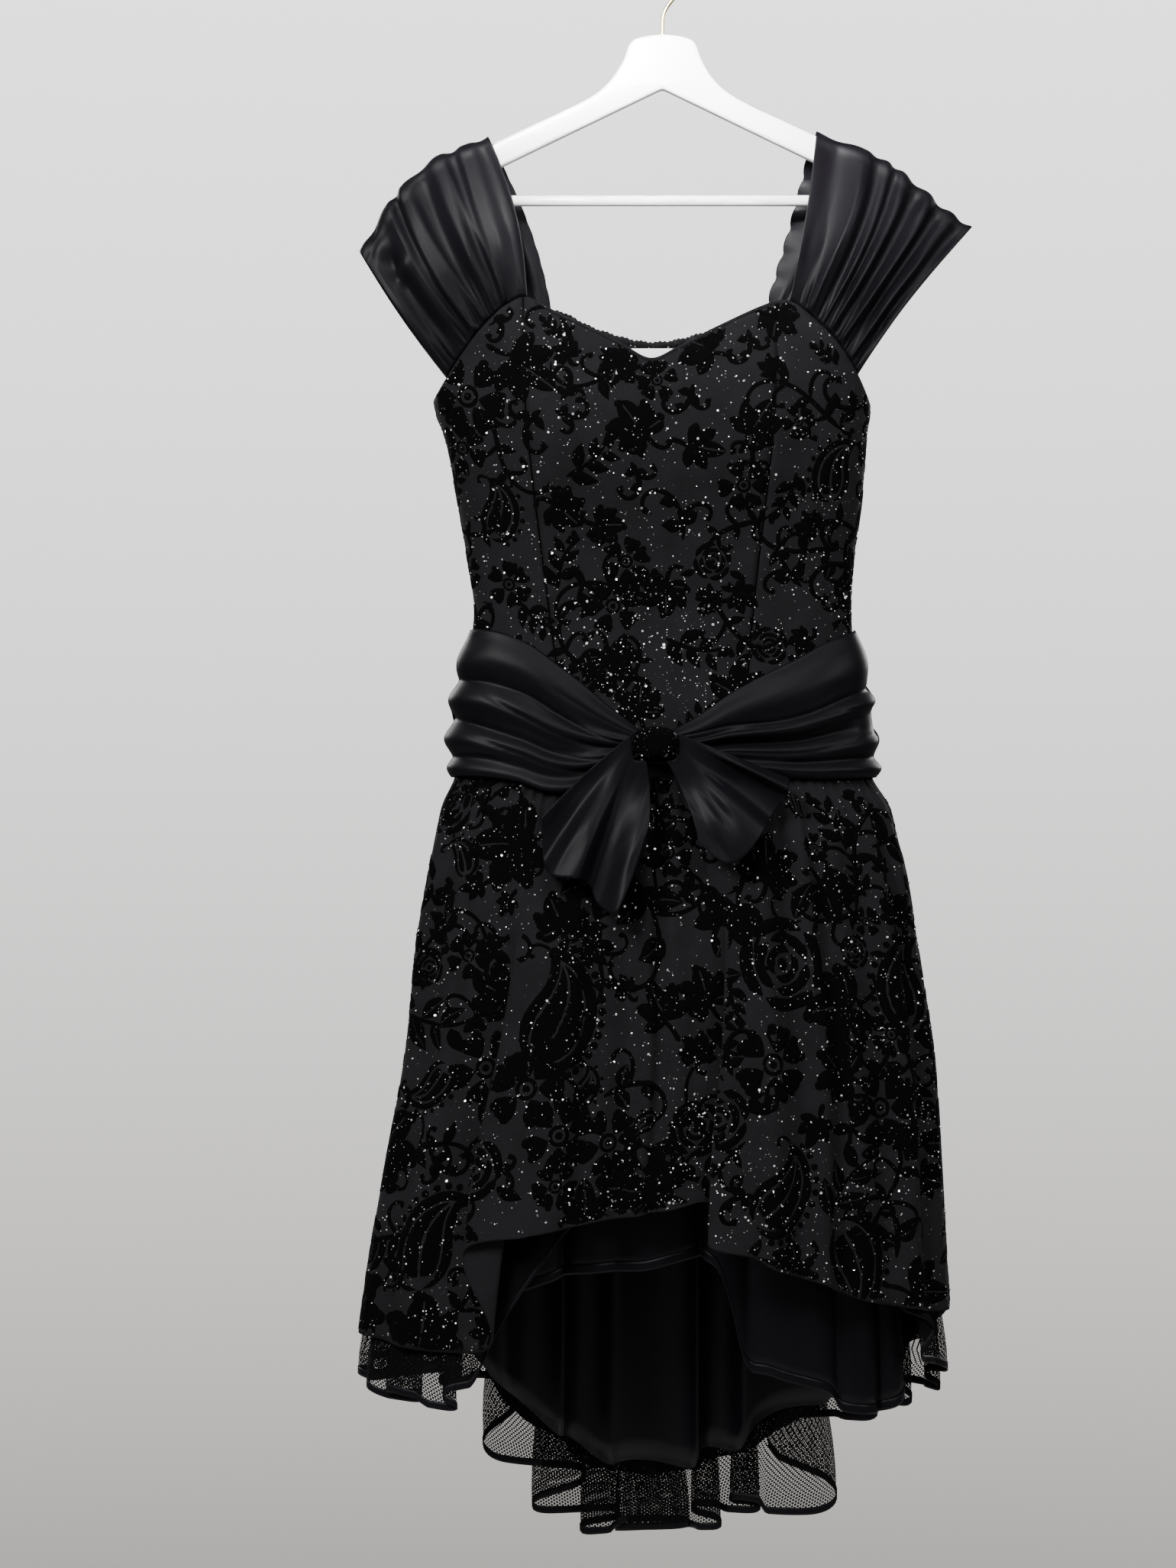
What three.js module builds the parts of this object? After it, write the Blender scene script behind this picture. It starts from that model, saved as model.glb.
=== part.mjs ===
// A knee-length party dress on a wooden hanger. Millimetres, +Z up, the dress's front faces -Y.
// The origin is the top of the inside of the hanger's hook, where the hook lies on a rail or a nail.
// Each cloth piece is a thin closed wall, made from a grid of points on its outer face.
import * as THREE from "three";

const SEAM_GAP = 0.5; // between two pieces that are sewn together
const FLOCKED_CLOTH = 1.4; // wall of the bodice and the outer skirt
const SATIN = 1.2; // wall of the sleeves, sash, bow and lining
const NET = 1.0; // wall of the petticoat
const BODY_ROUNDNESS = 2.2; // exponent of the rounded oval that each level of the dress follows
const SIDE_SPREAD = 0.225; // spaces turns evenly along the flat oval instead of by angle
const WAIST_SEAM_Z = -744; // the bodice ends and the skirt, petticoat and lining begin here

const clothes = {
  flocked: new THREE.MeshStandardMaterial({ color: 0x26252a, roughness: 0.85, metalness: 0 }),
  satin: new THREE.MeshStandardMaterial({ color: 0x1b1a20, roughness: 0.35, metalness: 0 }),
  lining: new THREE.MeshStandardMaterial({ color: 0x15151c, roughness: 0.5, metalness: 0 }),
  net: new THREE.MeshStandardMaterial({ color: 0x121214, roughness: 0.8, metalness: 0 }),
  label: new THREE.MeshStandardMaterial({ color: 0xe8e8ea, roughness: 0.6, metalness: 0 }),
};
const whitePaint = new THREE.MeshStandardMaterial({ color: 0xf2f2f2, roughness: 0.4, metalness: 0 });
const brass = new THREE.MeshStandardMaterial({ color: 0xb8a878, roughness: 0.3, metalness: 1 });

// Reads a column of a table at a key, on a smooth curve through its rows.
function smoothValue(rows, keyColumn, column, key) {
  const last = rows.length - 1;
  const rising = rows[last][keyColumn] > rows[0][keyColumn];
  const at = (i) => rows[Math.min(Math.max(i, 0), last)];
  let i = 0;
  while (i < last - 1 && (rising ? key > at(i + 1)[keyColumn] : key < at(i + 1)[keyColumn])) i++;
  const slope = (j) => {
    const span = at(j + 1)[keyColumn] - at(j - 1)[keyColumn];
    return (at(j + 1)[column] - at(j - 1)[column]) / span;
  };
  const width = at(i + 1)[keyColumn] - at(i)[keyColumn];
  const t = Math.min(Math.max((key - at(i)[keyColumn]) / width, 0), 1);
  const a = at(i)[column];
  const b = at(i + 1)[column];
  const h = t * t * (3 - 2 * t);
  const bendA = slope(i) * width * t * (1 - t) * (1 - t);
  const bendB = slope(i + 1) * width * t * t * (t - 1);
  return a + (b - a) * h + bendA + bendB;
}

function readRow(rows, keyColumn, key) {
  const found = {};
  for (const column of Object.keys(rows[0])) {
    found[column] = column === keyColumn ? key : smoothValue(rows, keyColumn, column, key);
  }
  return found;
}

const mix = (a, b, t) => a + (b - a) * t;
const clamp01 = (t) => Math.min(Math.max(t, 0), 1);
const easeInOut = (t) => clamp01(t) ** 2 * (3 - 2 * clamp01(t));
const hump = (t) => (Math.abs(t) < 1 ? Math.cos((Math.PI * t) / 2) ** 2 : 0);

// Closes a grid of outer points into a wall. Walking across then down turns the faces outwards.
function clothWall(outerPoint, across, down, thickness) {
  const acrossSteps = across.length;
  const downSteps = down.length;
  const outer = across.map((u) => down.map((v) => outerPoint(u, v)));
  const beyond = (u, next) => down.map((v) => outerPoint(2 * u - next, v));
  const before = beyond(across[0], across[1]);
  const after = beyond(across[acrossSteps - 1], across[acrossSteps - 2]);
  const inner = outer.map((line, i) =>
    line.map((p, j) => {
      const alongU = new THREE.Vector3().subVectors((outer[i + 1] ?? after)[j], (outer[i - 1] ?? before)[j]);
      const alongV = new THREE.Vector3().subVectors(
        line[Math.min(j + 1, downSteps - 1)],
        line[Math.max(j - 1, 0)],
      );
      const inwards = new THREE.Vector3().crossVectors(alongU, alongV).normalize();
      return p.clone().addScaledVector(inwards, thickness);
    }),
  );
  const positions = [...outer.flat(), ...inner.flat()].flatMap((p) => [p.x, p.y, p.z]);
  const outerIndex = (i, j) => i * downSteps + j;
  const innerIndex = (i, j) => acrossSteps * downSteps + outerIndex(i, j);
  const triangles = [];
  const quad = (a, b, c, d) => triangles.push(a, b, c, a, c, d);
  for (let i = 0; i < acrossSteps - 1; i++) {
    for (let j = 0; j < downSteps - 1; j++) {
      const face = [[i, j], [i, j + 1], [i + 1, j + 1], [i + 1, j]];
      const corner = (k) => outer[face[k][0]][face[k][1]];
      if (corner(1).distanceTo(corner(3)) < corner(0).distanceTo(corner(2))) face.push(face.shift());
      quad(...face.map(([a, b]) => outerIndex(a, b)));
      const [first, ...others] = face;
      quad(...[first, ...others.reverse()].map(([a, b]) => innerIndex(a, b)));
    }
    const j = downSteps - 1;
    quad(outerIndex(i, 0), outerIndex(i + 1, 0), innerIndex(i + 1, 0), innerIndex(i, 0));
    quad(outerIndex(i + 1, j), outerIndex(i, j), innerIndex(i, j), innerIndex(i + 1, j));
  }
  for (let j = 0; j < downSteps - 1; j++) {
    const i = acrossSteps - 1;
    quad(outerIndex(0, j + 1), outerIndex(0, j), innerIndex(0, j), innerIndex(0, j + 1));
    quad(outerIndex(i, j), outerIndex(i, j + 1), innerIndex(i, j + 1), innerIndex(i, j));
  }
  const geometry = new THREE.BufferGeometry();
  geometry.setAttribute("position", new THREE.Float32BufferAttribute(positions, 3));
  geometry.setIndex(triangles);
  return geometry;
}

const evenly = (from, to, steps) => Array.from({ length: steps + 1 }, (_, i) => mix(from, to, i / steps));

// The dress's size at each level: how far its face is from the hook's line on each side.
const dressLevels = [
  { z: -300, left: 206, right: 190, front: 40, back: 27 },
  { z: -411, left: 210, right: 191, front: 52, back: 32 },
  { z: -448, left: 198.5, right: 187, front: 55, back: 32 },
  { z: -501, left: 188.5, right: 183, front: 51, back: 31 },
  { z: -553, left: 179.5, right: 176, front: 45, back: 30 },
  { z: -606, left: 172.5, right: 173, front: 41, back: 30 },
  { z: -658, left: 180, right: 178, front: 44, back: 32 },
  { z: -700, left: 186, right: 184, front: 48, back: 35 },
  { z: -744, left: 188, right: 190, front: 52, back: 38 },
  { z: -757, left: 190, right: 192, front: 54, back: 40 },
  { z: -781, left: 203, right: 209, front: 62, back: 45 },
  { z: -816, left: 212, right: 220, front: 68, back: 49 },
  { z: -851, left: 218, right: 228, front: 73, back: 52 },
  { z: -903, left: 227, right: 236, front: 79, back: 56 },
  { z: -1008, left: 238, right: 252, front: 88, back: 62 },
  { z: -1113, left: 257, right: 259, front: 96, back: 68 },
  { z: -1219, left: 275, right: 265, front: 102, back: 75 },
  { z: -1330, left: 288, right: 273, front: 106, back: 82 },
  { z: -1430, left: 296, right: 280, front: 108, back: 88 },
];

// A point on a rounded oval. turn is the share of the way round: 0 at the left side seam in front view,
// 0.25 near the centre front, 0.5 at the other side seam and 0.75 near the centre back.
function ovalPoint(level, turn, inset = 0) {
  const angle = 2 * Math.PI * turn + SIDE_SPREAD * Math.sin(4 * Math.PI * turn);
  const power = 2 / BODY_ROUNDNESS;
  const rounded = (value) => Math.sign(value) * Math.abs(value) ** power;
  const middle = (level.right - level.left) / 2;
  const halfWidth = (level.right + level.left) / 2 - inset;
  const depth = (Math.sin(angle) > 0 ? level.front : level.back) - inset;
  const x = middle - halfWidth * rounded(Math.cos(angle));
  return new THREE.Vector3(x, -depth * rounded(Math.sin(angle)), level.z);
}

// The way out from an oval at a turn, and the way round it.
function ovalDirections(level, turn) {
  const step = 1e-4;
  const round = ovalPoint(level, turn + step).sub(ovalPoint(level, turn - step)).normalize();
  const out = new THREE.Vector3(round.y, -round.x, 0);
  return { round, out };
}

// The turn of the point on the front or back face that lies at x.
function turnAtX(level, x, side) {
  const middle = (level.right - level.left) / 2;
  const halfWidth = (level.right + level.left) / 2;
  const ratio = Math.min(Math.max((middle - x) / halfWidth, -1), 1);
  const cosine = Math.sign(ratio) * Math.abs(ratio) ** (BODY_ROUNDNESS / 2);
  const angle = Math.acos(cosine);
  let turn = angle / (2 * Math.PI);
  for (let pass = 0; pass < 25; pass++) {
    turn = (angle - SIDE_SPREAD * Math.sin(4 * Math.PI * turn)) / (2 * Math.PI);
  }
  return side === "front" ? turn : 1 - turn;
}

const levelAt = (z) => readRow(dressLevels, "z", z);

// The bust fills the bodice on each side of the centre front, apart from it by the same distance.
const bust = { centre: -5, apart: 82, z: -452, width: 78, height: 80, fullness: 9 };
function bodiceAt(turn, z) {
  const point = ovalPoint(levelAt(z), turn);
  if (turn < 0.5) {
    const tall = hump((z - bust.z) / bust.height);
    const aside = point.x - bust.centre;
    const wide = hump((aside + bust.apart) / bust.width) + hump((aside - bust.apart) / bust.width);
    point.y -= bust.fullness * tall * wide;
  }
  return point;
}
const bodicePoint = (x, z, side) => bodiceAt(turnAtX(levelAt(z), x, side), z);

// The upper edge of the front: from one underarm over the sleeve seam and the V neck to the other.
const frontTopEdge = [
  { x: -210, z: -411 },
  { x: -197, z: -391 },
  { x: -184, z: -372 },
  { x: -170, z: -353 },
  { x: -157, z: -339 },
  { x: -143, z: -327 },
  { x: -124, z: -320 },
  { x: -98, z: -333.5 },
  { x: -65, z: -349.5 },
  { x: -40, z: -362 },
  { x: -12, z: -377 },
  { x: 12, z: -367 },
  { x: 47, z: -348.5 },
  { x: 98, z: -325 },
  { x: 115, z: -323.5 },
  { x: 131, z: -334 },
  { x: 147, z: -348 },
  { x: 160, z: -362 },
  { x: 178, z: -389 },
  { x: 191, z: -416 },
];
const backTopEdge = [
  { x: -210, z: -411 },
  { x: -197, z: -391 },
  { x: -175, z: -364 },
  { x: -150, z: -344 },
  { x: -125, z: -332 },
  { x: -102, z: -327 },
  { x: -60, z: -346 },
  { x: -8, z: -358 },
  { x: 45, z: -347 },
  { x: 98, z: -324 },
  { x: 118, z: -328 },
  { x: 140, z: -341 },
  { x: 160, z: -362 },
  { x: 178, z: -389 },
  { x: 191, z: -416 },
];
// The two curved seams that shape the front over the bust.
const princessSeams = [
  { z: -320, left: -127, right: 105 },
  { z: -430, left: -124, right: 100 },
  { z: -600, left: -104, right: 82 },
  { z: -744, left: -84, right: 70 },
];
const seamTurn = 0.0006; // half the gap between two pieces that meet at a turn
const seamTurns = {
  sideLeft: () => 0,
  princessLeft: (z) => turnAtX(levelAt(z), smoothValue(princessSeams, "z", "left", z), "front"),
  princessRight: (z) => turnAtX(levelAt(z), smoothValue(princessSeams, "z", "right", z), "front"),
  sideRight: () => 0.5,
  sideLeftAgain: () => 1,
};

// How the height where a column meets the upper edge is found: from a start, in passes.
const edgeSearch = { startZ: -380, passes: 14, share: 0.7 };

// A bodice panel between two seams. Each column starts on the upper edge and ends at the waist seam.
function bodicePanel(fromSeam, toSeam, topEdge, columns, rows) {
  const turnOf = (u, z) => mix(fromSeam(z) + seamTurn, toSeam(z) - seamTurn, u);
  const point = (u, v) => {
    let topZ = edgeSearch.startZ;
    for (let pass = 0; pass < edgeSearch.passes; pass++) {
      const edgeZ = smoothValue(topEdge, "x", "z", ovalPoint(levelAt(topZ), turnOf(u, topZ)).x);
      topZ = mix(topZ, edgeZ, edgeSearch.share);
    }
    const z = mix(topZ, WAIST_SEAM_Z, v);
    return bodiceAt(turnOf(u, z), z);
  };
  return clothWall(point, evenly(0, 1, columns), evenly(0, 1, rows), FLOCKED_CLOTH);
}

// The skirt's soft folds: where each crest is, how wide and deep it is, and how far it leans over.
const skirtFolds = [
  { turn: 0.03, width: 0.022, depth: 6, lean: -3 },
  { turn: 0.068, width: 0.018, depth: 7, lean: 3 },
  { turn: 0.16, width: 0.018, depth: 5, lean: 3 },
  { turn: 0.196, width: 0.016, depth: 6, lean: -4 },
  { turn: 0.226, width: 0.015, depth: 7, lean: 4 },
  { turn: 0.256, width: 0.014, depth: 5, lean: -3 },
  { turn: 0.34, width: 0.016, depth: 7, lean: -4 },
  { turn: 0.37, width: 0.014, depth: 8, lean: 5 },
  { turn: 0.401, width: 0.016, depth: 7, lean: -4 },
  { turn: 0.434, width: 0.017, depth: 8, lean: 4 },
  { turn: 0.469, width: 0.018, depth: 6, lean: -3 },
  { turn: 0.535, width: 0.019, depth: 8, lean: 4 },
  { turn: 0.574, width: 0.018, depth: 9, lean: -5 },
  { turn: 0.611, width: 0.019, depth: 8, lean: 5 },
  { turn: 0.65, width: 0.019, depth: 9, lean: -5 },
  { turn: 0.688, width: 0.018, depth: 8, lean: 4 },
  { turn: 0.725, width: 0.018, depth: 9, lean: -5 },
  { turn: 0.762, width: 0.018, depth: 8, lean: 5 },
  { turn: 0.8, width: 0.019, depth: 9, lean: -5 },
  { turn: 0.839, width: 0.019, depth: 8, lean: 5 },
  { turn: 0.877, width: 0.018, depth: 9, lean: -5 },
  { turn: 0.915, width: 0.019, depth: 8, lean: 4 },
  { turn: 0.955, width: 0.02, depth: 7, lean: -3 },
];
// The two knife pleats that the front opens in: the cloth after each one lies over the cloth before.
const skirtPleats = [
  { turn: 0.118, width: 0.024, overlap: 32, rise: 19 },
  { turn: 0.3, width: 0.021, overlap: 27, rise: 18 },
];
const pleatZ = { start: -800, full: -1120 };
const PLEAT_SETTLE = 3; // pleat widths over which the raised cloth comes back to the oval
// A pleat rises in two steps, where the cloth turns back. Their place and length are in pleat widths.
const pleatStep = { at: 0.41, length: 0.7 };

// How far a skirt point moves out from and along its level. A pleat lifts before it folds over, so
// that its layers keep clear of each other where it begins.
function foldShift(turn, folds, pleats, foldAmount, pleatAmount) {
  const liftAmount = pleatAmount ** 0.25;
  let out = 0;
  let along = 0;
  for (const fold of folds) {
    const crest = hump((turn - fold.turn) / fold.width);
    out += fold.depth * crest * foldAmount;
    along += fold.lean * crest * foldAmount;
  }
  for (const pleat of pleats) {
    const t = (turn - pleat.turn) / pleat.width;
    if (Math.abs(t) < 1) {
      along -= pleat.overlap * Math.sin(Math.PI * t) * pleatAmount;
      const firstStep = easeInOut((t + pleatStep.at) / pleatStep.length + 0.5);
      const secondStep = easeInOut((t - pleatStep.at) / pleatStep.length + 0.5);
      out += (pleat.rise / 4) * (firstStep + secondStep + 1 + Math.sin((Math.PI * t) / 2)) * liftAmount;
    } else if (t >= 1) {
      out += pleat.rise * hump(Math.min((t - 1) / PLEAT_SETTLE, 1)) * liftAmount;
    }
  }
  return { out, along };
}

// The outer hem's height round the dress: short in front, long at the back.
const skirtHem = [
  { turn: 0, z: -1257 },
  { turn: 0.046, z: -1262 },
  { turn: 0.1, z: -1269 },
  { turn: 0.109, z: -1254 },
  { turn: 0.118, z: -1218 },
  { turn: 0.128, z: -1180 },
  { turn: 0.14, z: -1165 },
  { turn: 0.188, z: -1152 },
  { turn: 0.255, z: -1140 },
  { turn: 0.291, z: -1135 },
  { turn: 0.31, z: -1170 },
  { turn: 0.351, z: -1197 },
  { turn: 0.402, z: -1223 },
  { turn: 0.45, z: -1237 },
  { turn: 0.5, z: -1240 },
  { turn: 0.55, z: -1268 },
  { turn: 0.598, z: -1316 },
  { turn: 0.654, z: -1350 },
  { turn: 0.702, z: -1390 },
  { turn: 0.745, z: -1402 },
  { turn: 0.794, z: -1394 },
  { turn: 0.824, z: -1376 },
  { turn: 0.862, z: -1342 },
  { turn: 0.895, z: -1284 },
  { turn: 0.95, z: -1263 },
  { turn: 1, z: -1257 },
];
const skirtTopZ = WAIST_SEAM_Z - SEAM_GAP;
const SKIRT_INSET = 3; // the folds' crests come back out to the oval
// Below the waist seam the folds start small, and reach their depth and their inset at these distances.
const skirtStart = { least: 0.12, clearBy: 20, insetBy: 60, fullBy: 110 };

// A row of the skirt is a level height, or below the last height a share of the way on to the hem.
const skirtRows = {
  front: [skirtTopZ, -758, -781, -830, -885, -925, -965, -1030, -1110, 0.5, 1],
  back: [skirtTopZ, -758, -781, -830, -960, -1110, 0.5, 1],
};
const lastLevelZ = -1110;

function skirtPoint(turn, row) {
  const z = row < 0 ? row : mix(lastLevelZ, smoothValue(skirtHem, "turn", "z", turn), row);
  const level = levelAt(z);
  const { round, out } = ovalDirections(level, turn);
  const below = skirtTopZ - z;
  const growing = mix(skirtStart.least, 1, easeInOut(below / skirtStart.fullBy));
  const foldAmount = growing * easeInOut(below / skirtStart.clearBy);
  const pleatAmount = easeInOut((pleatZ.start - z) / (pleatZ.start - pleatZ.full));
  const shift = foldShift(turn, skirtFolds, skirtPleats, foldAmount, pleatAmount);
  const point = ovalPoint(level, turn, SKIRT_INSET * easeInOut(below / skirtStart.insetBy));
  return point.addScaledVector(out, shift.out).addScaledVector(round, shift.along);
}

// Even columns, with more of them where a pleat folds the cloth back on itself.
function foldColumns(fromTurn, toTurn, columns, pleats) {
  const turns = evenly(fromTurn + seamTurn, toTurn - seamTurn, columns);
  const outside = turns.filter((turn) => !pleats.some((p) => Math.abs(turn - p.turn) < 1.15 * p.width));
  const inside = pleats
    .filter((p) => p.turn > fromTurn && p.turn < toTurn)
    .flatMap((p) => evenly(p.turn - p.width, p.turn + p.width, 14));
  return [...outside, ...inside].sort((a, b) => a - b);
}

function skirtPanel(fromTurn, toTurn, columns, rows) {
  return clothWall(skirtPoint, foldColumns(fromTurn, toTurn, columns, skirtPleats), rows, FLOCKED_CLOTH);
}

// The net petticoat between the skirt and the lining. It flares out below the outer hem.
const petticoatLevels = [
  { z: -738, left: 184.8, right: 186.2, front: 48.6, back: 34.8 },
  { z: -757, left: 182.5, right: 184.5, front: 47.5, back: 33.5 },
  { z: -781, left: 187, right: 193, front: 50, back: 34 },
  { z: -851, left: 203, right: 213, front: 60, back: 39.5 },
  { z: -1008, left: 221, right: 235, front: 73, back: 47 },
  { z: -1113, left: 239, right: 241, front: 80, back: 52 },
  { z: -1219, left: 261, right: 250, front: 87, back: 59 },
  { z: -1290, left: 275, right: 259, front: 94, back: 68 },
  { z: -1380, left: 270, right: 256, front: 98, back: 72 },
  { z: -1500, left: 262, right: 252, front: 100, back: 76 },
];
const petticoatHem = [
  { turn: 0, z: -1296 },
  { turn: 0.05, z: -1304 },
  { turn: 0.11, z: -1302 },
  { turn: 0.15, z: -1190 },
  { turn: 0.2, z: -1128 },
  { turn: 0.29, z: -1116 },
  { turn: 0.36, z: -1150 },
  { turn: 0.42, z: -1206 },
  { turn: 0.46, z: -1272 },
  { turn: 0.5, z: -1292 },
  { turn: 0.558, z: -1322 },
  { turn: 0.6, z: -1352 },
  { turn: 0.63, z: -1398 },
  { turn: 0.687, z: -1436 },
  { turn: 0.745, z: -1455 },
  { turn: 0.8, z: -1446 },
  { turn: 0.835, z: -1412 },
  { turn: 0.862, z: -1366 },
  { turn: 0.894, z: -1312 },
  { turn: 0.95, z: -1300 },
  { turn: 1, z: -1296 },
];
// The net's waves: uneven by a slower swing, calmer at the side seams, and deeper below flareZ.
const petticoatWaves = { count: 22, depth: 6.8, lean: 4, unevenness: 0.25, swings: 5, fullBy: 260 };
const petticoatCalm = { atSides: 0.5, sideWidth: 0.05, aboveFlare: 0.3, flareZ: -1120, flareHeight: 150 };
function petticoatPoint(turn, v, extraDrop = 0) {
  const top = petticoatLevels[0].z;
  const hem = smoothValue(petticoatHem, "turn", "z", turn);
  const z = mix(top, hem, v) - extraDrop;
  const level = readRow(petticoatLevels, "z", z);
  const { round, out } = ovalDirections(level, turn);
  const nearSide = Math.abs(((turn + 0.25) % 0.5) - 0.25);
  const { atSides, sideWidth, aboveFlare, flareZ, flareHeight } = petticoatCalm;
  const calmSide = mix(atSides, 1, easeInOut(nearSide / sideWidth));
  const flare = mix(aboveFlare, 1, easeInOut((flareZ - z) / flareHeight));
  const amount = calmSide * easeInOut((top - z) / petticoatWaves.fullBy) * flare;
  const phase = 2 * Math.PI * petticoatWaves.count * turn;
  const swing = petticoatWaves.unevenness * Math.sin(2 * Math.PI * petticoatWaves.swings * turn + 1);
  const wave = Math.cos(phase + 3 * swing) * (1 + swing) * amount;
  const sway = Math.sin(phase + 3 * swing) * amount;
  return ovalPoint(level, turn)
    .addScaledVector(out, petticoatWaves.depth * wave)
    .addScaledVector(round, petticoatWaves.lean * sway);
}

const petticoatRows = [0, 0.1, 0.4, 0.75, 1];
function petticoatPanel(fromTurn, toTurn, columns) {
  const across = evenly(fromTurn + seamTurn, toTurn - seamTurn, columns);
  return clothWall((turn, v) => petticoatPoint(turn, v), across, petticoatRows, NET);
}

// The satin ribbon that binds the net's hem: a narrow band just below the net.
const binding = { height: 6, wall: 1.8, gap: 2 };
function petticoatBinding(fromTurn, toTurn, columns) {
  const across = evenly(fromTurn + seamTurn, toTurn - seamTurn, columns);
  const outwards = (binding.wall - NET) / 2;
  const point = (turn, v) => {
    const p = petticoatPoint(turn, 1, binding.gap + v * binding.height);
    const level = readRow(petticoatLevels, "z", p.z);
    return p.addScaledVector(ovalDirections(level, turn).out, outwards);
  };
  return clothWall(point, across, [0, 1], binding.wall);
}

// The satin lining is the innermost layer, narrower than the skirt. It shows below the front hem.
const liningLevels = [
  { z: -738, left: 182.4, right: 183.8, front: 46.4, back: 32.6 },
  { z: -757, left: 180, right: 183, front: 43, back: 29 },
  { z: -781, left: 181, right: 188, front: 44, back: 28 },
  { z: -851, left: 184, right: 196, front: 47, back: 29 },
  { z: -1008, left: 188, right: 208, front: 55, back: 33 },
  { z: -1219, left: 194, right: 218, front: 63, back: 41 },
  { z: -1420, left: 198, right: 222, front: 68, back: 48 },
];
const liningHem = [
  { turn: 0, z: -1262 },
  { turn: 0.07, z: -1258 },
  { turn: 0.1, z: -1224 },
  { turn: 0.14, z: -1204 },
  { turn: 0.218, z: -1199 },
  { turn: 0.292, z: -1194 },
  { turn: 0.312, z: -1276 },
  { turn: 0.35, z: -1294 },
  { turn: 0.388, z: -1310 },
  { turn: 0.41, z: -1328 },
  { turn: 0.46, z: -1328 },
  { turn: 0.5, z: -1304 },
  { turn: 0.56, z: -1308 },
  { turn: 0.62, z: -1336 },
  { turn: 0.68, z: -1372 },
  { turn: 0.76, z: -1396 },
  { turn: 0.83, z: -1386 },
  { turn: 0.88, z: -1352 },
  { turn: 0.93, z: -1306 },
  { turn: 0.965, z: -1268 },
  { turn: 1, z: -1262 },
];
const liningFolds = { count: 15, depth: 5, lean: 4, drift: 1.4, fullBy: 320 };
function liningPoint(turn, v) {
  const top = liningLevels[0].z;
  const hem = smoothValue(liningHem, "turn", "z", turn);
  const z = mix(top, hem, v);
  const level = readRow(liningLevels, "z", z);
  const { round, out } = ovalDirections(level, turn);
  const amount = easeInOut((top - z) / liningFolds.fullBy);
  const phase = 2 * Math.PI * liningFolds.count * turn + liningFolds.drift * Math.sin(4 * Math.PI * turn);
  return ovalPoint(level, turn)
    .addScaledVector(out, liningFolds.depth * Math.cos(phase) * amount)
    .addScaledVector(round, liningFolds.lean * Math.sin(phase) * amount);
}
const liningRows = [0, 0.1, 0.4, 0.72, 1];
function liningPanel(fromTurn, toTurn, columns) {
  const across = evenly(fromTurn + 2 * seamTurn, toTurn - 2 * seamTurn, columns);
  return clothWall(liningPoint, across, liningRows, SATIN);
}

// A cap sleeve: a band gathered into the front, laid over the hanger's arm, and gathered into the back.
// Each row is a line across the band, from its neck edge (along 0) to its outer edge (along 1).
const sleeves = {
  left: {
    mirror: -1,
    lines: [
      { along: 0, seamX: 124, ridgeX: 160, ridgeZ: -168.5, backX: 102 },
      { along: 0.2, seamX: 143, ridgeX: 187, ridgeZ: -178, backX: 122 },
      { along: 0.4, seamX: 157, ridgeX: 215, ridgeZ: -190, backX: 142 },
      { along: 0.6, seamX: 170, ridgeX: 240.5, ridgeZ: -214, backX: 162 },
      { along: 0.8, seamX: 184, ridgeX: 264, ridgeZ: -246, backX: 181 },
      { along: 1, seamX: 197, ridgeX: 278, ridgeZ: -273, backX: 197 },
    ],
    folds: [
      { along: 0.06, width: 0.08, depth: 4 },
      { along: 0.25, width: 0.07, depth: 6 },
      { along: 0.46, width: 0.12, depth: 7 },
      { along: 0.645, width: 0.045, depth: 6 },
      { along: 0.84, width: 0.13, depth: 8 },
    ],
    neckBow: 8,
    outerBow: -3,
  },
  right: {
    mirror: 1,
    lines: [
      { along: 0, seamX: 115, ridgeX: 141, ridgeZ: -162.8, backX: 98 },
      { along: 0.2, seamX: 131, ridgeX: 176, ridgeZ: -175, backX: 116 },
      { along: 0.4, seamX: 146, ridgeX: 208, ridgeZ: -191, backX: 134 },
      { along: 0.6, seamX: 158, ridgeX: 235, ridgeZ: -211, backX: 151 },
      { along: 0.8, seamX: 168, ridgeX: 260, ridgeZ: -233, backX: 166 },
      { along: 1, seamX: 178, ridgeX: 284, ridgeZ: -250, backX: 178 },
    ],
    folds: [
      { along: 0.11, width: 0.12, depth: 6 },
      { along: 0.33, width: 0.06, depth: 5 },
      { along: 0.44, width: 0.05, depth: 5 },
      { along: 0.585, width: 0.09, depth: 7 },
      { along: 0.76, width: 0.08, depth: 7 },
      { along: 0.93, width: 0.08, depth: 6 },
    ],
    neckBow: -2,
    outerBow: 6,
  },
};
const sleeveShape = { ridgeHalfWidth: 14, outerHalfWidth: 9, puff: 13, backPuff: 8, seamLift: 1.3 };
const sleeveCap = { from: 0.88, height: 12 }; // the rounded top that lies over the hanger's arm
// The folds are flat at the seams, full at seamShare of the way up, and lower where the arm presses them.
const sleeveFolds = { atSeam: 0.1, seamShare: 0.3, onRidge: 0.45, ridgeShare: 0.2 };

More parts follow.
